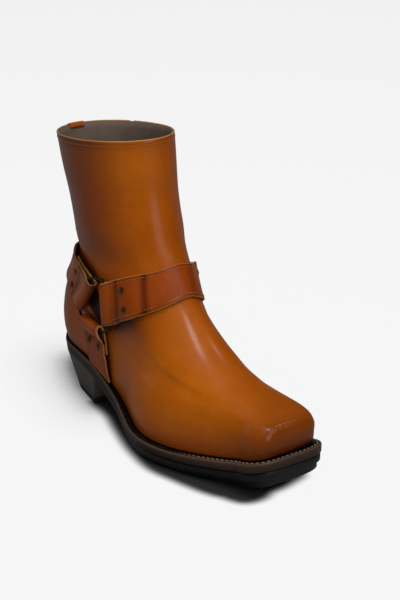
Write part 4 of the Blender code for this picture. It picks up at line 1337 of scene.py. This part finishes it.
def heel_block(name, node, levels, mat):
    """Heel piece from rows of (level, height as a function of x, swell)."""
    verts = []
    for level, height, swell in levels:
        p = heel_loop(level, swell)
        verts.append(np.column_stack((p, height(p[:, 0]))))
    n = len(verts[0])
    faces = []
    for i in range(len(verts) - 1):
        faces += ring_faces(i * n, (i + 1) * n, n)
    for a in (0, (len(verts) - 1) * n):
        for i in range((n - 1) // 2):
            j = n - 1 - i
            if j - i > 2:
                faces.append((a + i, a + i + 1, a + j - 1, a + j))
            else:
                faces.append((a + i, a + i + 1, a + j))
    obj = piece(name, np.concatenate(verts), faces, [mat])
    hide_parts(node)


def make_heel():
    """Stack of heel layers with a fine groove between them, and the lift under it."""
    cut = 1 - TOP_LIFT / HEEL_RISE
    levels = []
    for k in range(HEEL_LAYERS):
        for share, swell in ((0.04, -0.08), (0.14, 0.0), (0.86, 0.0), (0.96, -0.08)):
            t = (k + share) / HEEL_LAYERS

            def height(x, t=t):
                seat = under(x) - SEAT_GAP
                return seat + (TOP_LIFT + 0.2 - seat) * t

            levels.append(((cut - 0.01) * t, height, swell))
    heel_block("heel_stack", "heel", levels, HEEL_STACK)
    heel_block("heel_tip", "heel_top_lift", [
        (cut, lambda x: 0 * x + TOP_LIFT, -0.5), (cut + 0.01, lambda x: 0 * x + TOP_LIFT - 0.4, 0.0),
        (0.97, lambda x: 0 * x + 0.6, 0.0), (1.0, lambda x: 0 * x, -0.5)], LIFT_RUBBER)


# Zip

def make_zip():
    """Tape in the slit and the closed teeth on it."""
    a, b = ZIP_ANGLES
    rows = np.linspace(ZIP_FOOT + 0.05, ZIP_HEAD, 60)
    cross = ((-0.1, -2.05), (1.1, -2.05), (1.1, -1.5), (0.66, -1.5), (0.64, -1.2), (0.36, -1.2), (0.34, -1.5),
             (-0.1, -1.5))
    verts = []
    for v in rows:
        for share, lift in cross:
            verts.append(lifted(v, a + (b - a) * share, lift))
    m = len(cross)
    faces = []
    for i in range(len(rows) - 1):
        faces += ring_faces(i * m, (i + 1) * m, m)
    faces += [tuple(range(m)), tuple(range(len(verts) - m, len(verts)))]
    tape = piece("zip_tape", np.array(verts), faces, [ZIP_TAPE], round_faces=False)
    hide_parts("zip")
    blocks, faces = [], []
    reach = np.linspace(ZIP_FOOT + 0.1, SLIDER_SECTION - 0.2, 400)
    line = lifted(reach, (a + b) / 2, -0.4)
    run = np.concatenate(([0], np.cumsum(np.linalg.norm(np.diff(line, axis=0), axis=1))))
    at = np.interp(np.arange(1.0, run[-1], 1.15), run, reach)
    shape = ((-0.38, -0.6, -0.75), (0.38, -0.6, -0.75), (0.38, 0.6, -0.75), (-0.38, 0.6, -0.75),
             (-0.38, -0.45, 0.15), (0.38, -0.45, 0.15), (0.38, 0.45, 0.15), (-0.38, 0.45, 0.15),
             (-0.22, -0.25, 0.4), (0.22, -0.25, 0.4), (0.22, 0.25, 0.4), (-0.22, 0.25, 0.4))
    one = [(3, 2, 1, 0), (8, 9, 10, 11)] + ring_faces(0, 4, 4) + ring_faces(4, 8, 4)
    for i, v in enumerate(at):
        p, up, across, n = frame_at(v, (a + b) / 2, -0.4)
        sway = 0.5 if i % 2 else -0.5
        blocks.append([p + up * q[0] + across * (1.5 * q[1] + sway) + n * q[2] for q in shape])
        faces += [tuple(12 * i + k for k in f) for f in one]
    teeth = piece("zip_teeth", np.array(blocks).reshape(-1, 3), faces, [NICKEL], round_faces=False)


def plate(outline, hole, low, high, frame, bevel):
    """Flat plate with a rounded outline and a hole, its edges bevelled. Outline in (up, across)."""
    p, up, across, n = frame

    def ring_at(loop, grow, lift):
        c = np.mean(loop, axis=0)
        loop = np.asarray(loop, float)
        ahead = np.roll(loop, -1, 0) - np.roll(loop, 1, 0)
        out = unit(np.stack((ahead[:, 1], -ahead[:, 0]), -1))
        if ((loop - c) * out).sum() < 0:
            out = -out
        q = loop + out * grow
        return p + q[:, :1] * up + q[:, 1:] * across + n * lift

    n_out, n_in = len(outline), len(hole)
    assert n_out == n_in
    rings = [ring_at(hole, bevel, low), ring_at(outline, -bevel, low), ring_at(outline, 0, low + bevel),
             ring_at(outline, 0, high - bevel), ring_at(outline, -bevel, high), ring_at(hole, bevel, high),
             ring_at(hole, 0, high - bevel), ring_at(hole, 0, low + bevel)]
    faces = []
    for i in range(8):
        faces += ring_faces(i * n_out, (i + 1) % 8 * n_out, n_out)
    return np.concatenate(rings), faces


def rounded(x0, x1, y0, y1, radius, taper=1.0, count=6):
    """Rounded rectangle in (up, across), its low end narrowed by taper."""
    loop = []
    left, right, low, high = x0 + radius, x1 - radius, y0 + radius, y1 - radius
    for cx, cy, start in ((right, high, 0), (left, high, 90), (left, low, 180), (right, low, 270)):
        for k in range(count):
            t = math.radians(start + 90 * k / (count - 1))
            x, y = cx + radius * math.cos(t), cy + radius * math.sin(t)
            share = (x1 - x) / (x1 - x0)
            loop.append((x, y * (1 + (taper - 1) * share)))
    return loop


# Arch over the slider as (up, lift), and its section as (across, thickness)
SLIDER_ARCH = ((-4.0, 2.0), (-4.05, 3.6), (-3.7, 4.9), (-2.8, 5.35), (0.0, 5.4), (2.8, 5.35), (3.7, 4.9),
               (4.05, 3.6), (4.0, 2.0))
ARCH_SECTION = ((-0.75, -0.3), (-0.55, -0.45), (0.55, -0.45), (0.75, -0.3), (0.75, 0.3), (0.55, 0.45),
                (-0.55, 0.45), (-0.75, 0.3))


def make_slider():
    """Slider with its arch, and the pull tab that swings on it."""
    frame0 = frame_at(SLIDER_SECTION, sum(ZIP_ANGLES) / 2, 0.0)
    p, up, across, n = frame0
    verts, faces = plate(rounded(-5.0, 5.0, -3.5, 3.5, 1.6, 0.8), rounded(-1.2, 1.2, -0.5, 0.5, 0.4),
                         0.75, 2.3, frame0, 0.35)
    line = resample(np.array(SLIDER_ARCH), 40)
    tangent = unit(np.gradient(line, axis=0))
    side = np.stack((-tangent[:, 1], tangent[:, 0]), -1)
    strip = []
    for (u, h), (su, sh) in zip(line, side):
        for c, t in ARCH_SECTION:
            strip.append(p + up * (u + su * t) + across * c + n * (h + sh * t))
    base = len(verts)
    m = len(ARCH_SECTION)
    for i in range(len(line) - 1):
        faces += ring_faces(base + i * m, base + (i + 1) * m, m)
    faces += [tuple(base + k for k in range(m)), tuple(base + len(strip) - m + k for k in range(m))]
    slider = piece("slider_body", np.concatenate((verts, np.array(strip))), faces, [NICKEL])
    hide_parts("zip_slider")
    half = TAB_WIDTH / 2
    verts, faces = plate(rounded(-TAB_LENGTH, 0.65, -half, half, 1.1, 0.82), rounded(-5.6, -0.65, -1.6, 1.6, 0.5),
                         HINGE_LIFT - TAB_THICK / 2, HINGE_LIFT + TAB_THICK / 2, frame0, 0.22)
    tab = piece("pull_tab_plate", verts, faces, [NICKEL], body="pull_tab")
    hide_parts("zip_pull_tab")


make_upper()
make_upper_stitching()
make_back_stay()
make_zip_panel()
make_harness()
make_sole()
make_heel()
make_zip()
make_slider()
insole = frame["nodes"]["insole"]
insole.data.materials.clear()
insole.data.materials.append(INSOLE)

# Camera, floor and light

CAM_AZIMUTH = 52.509
CAM_ELEVATION = 20.098
CAM_DISTANCE = 1488.15
CAM_ROLL = 1.325
PHOTO_TARGET = np.array((150.0, 50.22, 159.4))
FOCAL_PX = 1391.68
FRAME_PX = (400.0, 600.0)
# Point of that view on which the boot is centred, and how much closer it is framed
AIM_PX = (176.0, 346.0)
ZOOM = 1.3


def make_camera():
    a, e, r = (math.radians(d) for d in (CAM_AZIMUTH, CAM_ELEVATION, CAM_ROLL))
    back = np.array((math.sin(a) * math.cos(e), -math.cos(a) * math.cos(e), math.sin(e)))
    right = np.array((math.cos(a), math.sin(a), 0.0))
    up = np.cross(back, right)
    right, up = right * math.cos(r) + up * math.sin(r), up * math.cos(r) - right * math.sin(r)
    spot = world(PHOTO_TARGET + back * CAM_DISTANCE)
    aim = (right * (AIM_PX[0] - FRAME_PX[0] / 2) + up * (FRAME_PX[1] / 2 - AIM_PX[1])) / FOCAL_PX - back
    back = -unit(aim)
    right = unit(right - back * (right @ back))
    up = np.cross(back, right)
    data = bpy.data.cameras.new("camera")
    data.sensor_fit = "AUTO"
    data.sensor_width = 36.0
    data.lens = FOCAL_PX * ZOOM * 36.0 / FRAME_PX[1]
    data.clip_end = 50.0
    cam = bpy.data.objects.new("camera", data)
    bpy.context.collection.objects.link(cam)
    m = Matrix.Identity(4)
    for k, axis in enumerate((right, up, back)):
        for i in range(3):
            m[i][k] = axis[i]
    m.translation = Vector(spot)
    cam.matrix_world = m
    bpy.context.scene.camera = cam


FLOOR_SIZE = 6.0
FLOOR_LIT = 0.03
# Glow of the floor near the boot, what it loses far off, and the share that light and gloss get of it
FLOOR_GLOW = 0.90
FLOOR_FAR = 0.055
FLOOR_CAST = 0.13
FLOOR_MIRRORED = 0.2
FLOOR_STEP = 3.0
# Painted shadow on the floor beside the outer edge of the sole: x, distance of its soft edge from the feather line
SHADE_EDGE = ((60, -2), (80, 0), (90, 1.5), (100, 3.5), (112, 6.5), (127, 8), (168, 8), (182, 11), (194, 14),
              (212, 16), (228, 18.6), (245, 20.5), (263, 19), (275, 15), (284, 8))
# The same distance on the inner side, and at the outer and inner part of the toe
SHADE_INNER = 4.0
SHADE_TOE = (5.0, -7.0)
# Plan of the softer painted shadow behind the heel
HEEL_SHADE = ((70, -28), (52, -25), (42, -22.5), (30, -20), (19, -16), (9, -12), (-5, -6), (-18, 2), (-24, 9),
              (-16, 22), (10, 24), (70, 24))
# Share of the floor's glow that the painted shadow leaves, against the distance from that plan
HEEL_FADE = ((-8, 0.0), (0, 0.15), (4, 0.27), (9, 0.48), (15, 0.64), (20, 0.76), (26, 0.85), (36, 0.92),
             (50, 0.96), (75, 1.0))


def outside(points, loop):
    """Distance of points in plan from a closed outline, less than 0 inside it."""
    a, b = loop, np.roll(loop, -1, 0)
    ahead = b - a
    gap = points[:, None] - a[None]
    t = np.clip((gap * ahead).sum(2) / (ahead**2).sum(1), 0, 1)
    far = np.linalg.norm(gap - t[..., None] * ahead, axis=2).min(1)
    y0, y1 = a[:, 1], b[:, 1]
    cross = (y0 > points[:, 1:]) != (y1 > points[:, 1:])
    at = a[:, 0] + (points[:, 1:] - y0) / np.where(y1 == y0, 1, y1 - y0) * ahead[:, 0]
    within = (cross & (points[:, :1] < at)).sum(1) % 2 == 1
    return np.where(within, -far, far)


def painted_floor_shade(points):
    """Share of the floor's glow at points in plan, the rest being painted shadow: dark under and beside the sole,
    softer behind the heel.
    """
    a = round_angles(160, 0.3)
    line = last(0.0, a)[:, :2]
    turn = signed(a)
    side = smooth(*zip(*SHADE_EDGE), line[:, 0])
    front = SHADE_TOE[1] + (SHADE_TOE[0] - SHADE_TOE[1]) * ease(-8, 14, turn)
    reach = np.where(turn >= 0, side, SHADE_INNER)
    reach = front + (reach - front) * np.where(turn >= 0, ease(8, 20, turn), ease(24, 60, -turn))
    loop = plan_loop(lambda x: reach, 160)
    loop = loop[loop[:, 0] > 62]
    fore = ease(-5.0, 8.0, outside(points, loop))**1.5
    heel = np.interp(outside(points, np.array(HEEL_SHADE, float)), *zip(*HEEL_FADE))
    return fore * heel


def make_floor():
    """Pale floor. Its glow keeps it pale far off and fades out under and around the boot as painted shadow."""
    m, t, shader = start_material("pale floor", 0.9, Specular_IOR_Level=0.0, Emission_Strength=1.0)
    where = own_place(t)
    tones = [(tone, tone, tone, 1) for tone in (FLOOR_LIT, FLOOR_LIT + 0.01)]
    t.links.new(blend_colour(t, noise(t, where, 0.8, 2.0), *tones), shader.inputs["Base Color"])
    off = put(t, "ShaderNodeVectorMath", {0: where}, operation="LENGTH").outputs["Value"]
    # The glow is cut by the painted shadow kept in the open attribute.
    glow = sums(t, "MULTIPLY", painted(t, "open"), spread(t, off, 0.3, 2.5, FLOOR_GLOW, FLOOR_GLOW - FLOOR_FAR))
    path = put(t, "ShaderNodeLightPath").outputs
    cast = spread(t, path["Is Glossy Ray"], 0.0, 1.0, FLOOR_CAST, FLOOR_MIRRORED)
    glow = sums(t, "MULTIPLY", glow, sums(t, "MAXIMUM", path["Is Camera Ray"], cast))
    t.links.new(put(t, "ShaderNodeCombineXYZ", {0: glow, 1: glow, 2: glow}).outputs[0],
                shader.inputs["Emission Color"])
    far = FLOOR_SIZE / MM
    xs = np.concatenate(((-far, -600.0), np.arange(-160.0, 361.0, FLOOR_STEP), (900.0, far)))
    ys = np.concatenate(((-far, -600.0), np.arange(-130.0, 131.0, FLOOR_STEP), (600.0, far)))
    X, Y = np.meshgrid(xs, ys, indexing="ij")
    plan = np.column_stack((X.ravel(), Y.ravel()))
    n = len(ys)
    faces = [(i * n + j, (i + 1) * n + j, (i + 1) * n + j + 1, i * n + j + 1)
             for i in range(len(xs) - 1) for j in range(n - 1)]
    mesh = bpy.data.meshes.new("floor")
    mesh.from_pydata(world(np.column_stack((plan, np.zeros(len(plan))))).tolist(), [], faces)
    # Painted shadow of the boot: the share of glow left at each point.
    light = mesh.attributes.new("open", "FLOAT", "POINT")
    light.data.foreach_set("value", painted_floor_shade(plan).astype(np.float32))
    mesh.materials.append(m)
    obj = bpy.data.objects.new("floor", mesh)
    bpy.context.collection.objects.link(obj)


def hang(data, spot, target):
    """Lamp at a spot, turned to its target."""
    obj = bpy.data.objects.new(data.name, data)
    obj.location = spot
    obj.rotation_euler = (Vector(target) - Vector(spot)).to_track_quat("-Z", "Y").to_euler()
    bpy.context.collection.objects.link(obj)
    return obj


def soft_light(name, spot, target, width, height, power, mirrored=True):
    """Soft box. If it isn't mirrored, it lights the boot and doesn't show in the gloss."""
    data = bpy.data.lights.new(name, "AREA")
    data.shape = "RECTANGLE"
    data.size, data.size_y = width, height
    data.energy = power
    hang(data, spot, target).visible_glossy = mirrored


def toe_edge_light(spot, target):
    """Narrow lamp that only shows as the bright line along the front edge of the toe."""
    data = bpy.data.lights.new("toe edge", "SPOT")
    data.energy = 20.0
    data.shadow_soft_size = 0.16
    data.spot_size = math.radians(5.5)
    data.spot_blend = 0.6
    hang(data, spot, target).visible_diffuse = False


# Strength of the studio's white for light and gloss, and as the camera sees it
SKY_LIGHT = 0.02
SKY_SEEN = 0.845
BOOT_MIDDLE = (0, 0, 0.1)


def make_light():
    sky = bpy.data.worlds.new("studio")
    sky.use_nodes = True
    t = sky.node_tree
    seen = put(t, "ShaderNodeLightPath").outputs["Is Camera Ray"]
    t.links.new(spread(t, seen, 0.0, 1.0, SKY_LIGHT, SKY_SEEN), t.nodes["Background"].inputs["Strength"])
    t.nodes["Background"].inputs["Color"].default_value = (1, 1, 1, 1)
    bpy.context.scene.world = sky
    soft_light("top", (0.05, -0.3, 1.6), BOOT_MIDDLE, 1.5, 1.2, 5.5, mirrored=False)
    soft_light("ridge", (0.45, 0.05, 1.6), (0.05, 0, 0.1), 0.2, 0.5, 5.5)
    toe_edge_light((0.2, 0.83, 1.3), (0.14, 0, 0.06))
    soft_light("rim", (-1.5, -1.1, 0.8), BOOT_MIDDLE, 1.4, 1.4, 3)
    soft_light("back", (-1.2, 1.2, 1.2), BOOT_MIDDLE, 0.9, 0.9, 4.5, mirrored=False)
    soft_light("key", (1.36, 0.46, 1.3), BOOT_MIDDLE, 0.9, 0.9, 4.0)
    soft_light("front", (1.19, -0.92, 1.5), BOOT_MIDDLE, 0.9, 0.9, 5.5, mirrored=False)
    soft_light("side", (0.5, -1.5, 0.75), BOOT_MIDDLE, 0.9, 0.9, 4, mirrored=False)
    soft_light("toe", (1.65, 0.0, 0.6), BOOT_MIDDLE, 0.7, 0.7, 3.6)
    bpy.context.scene.view_settings.view_transform = "Standard"


make_camera()
make_floor()
make_light()
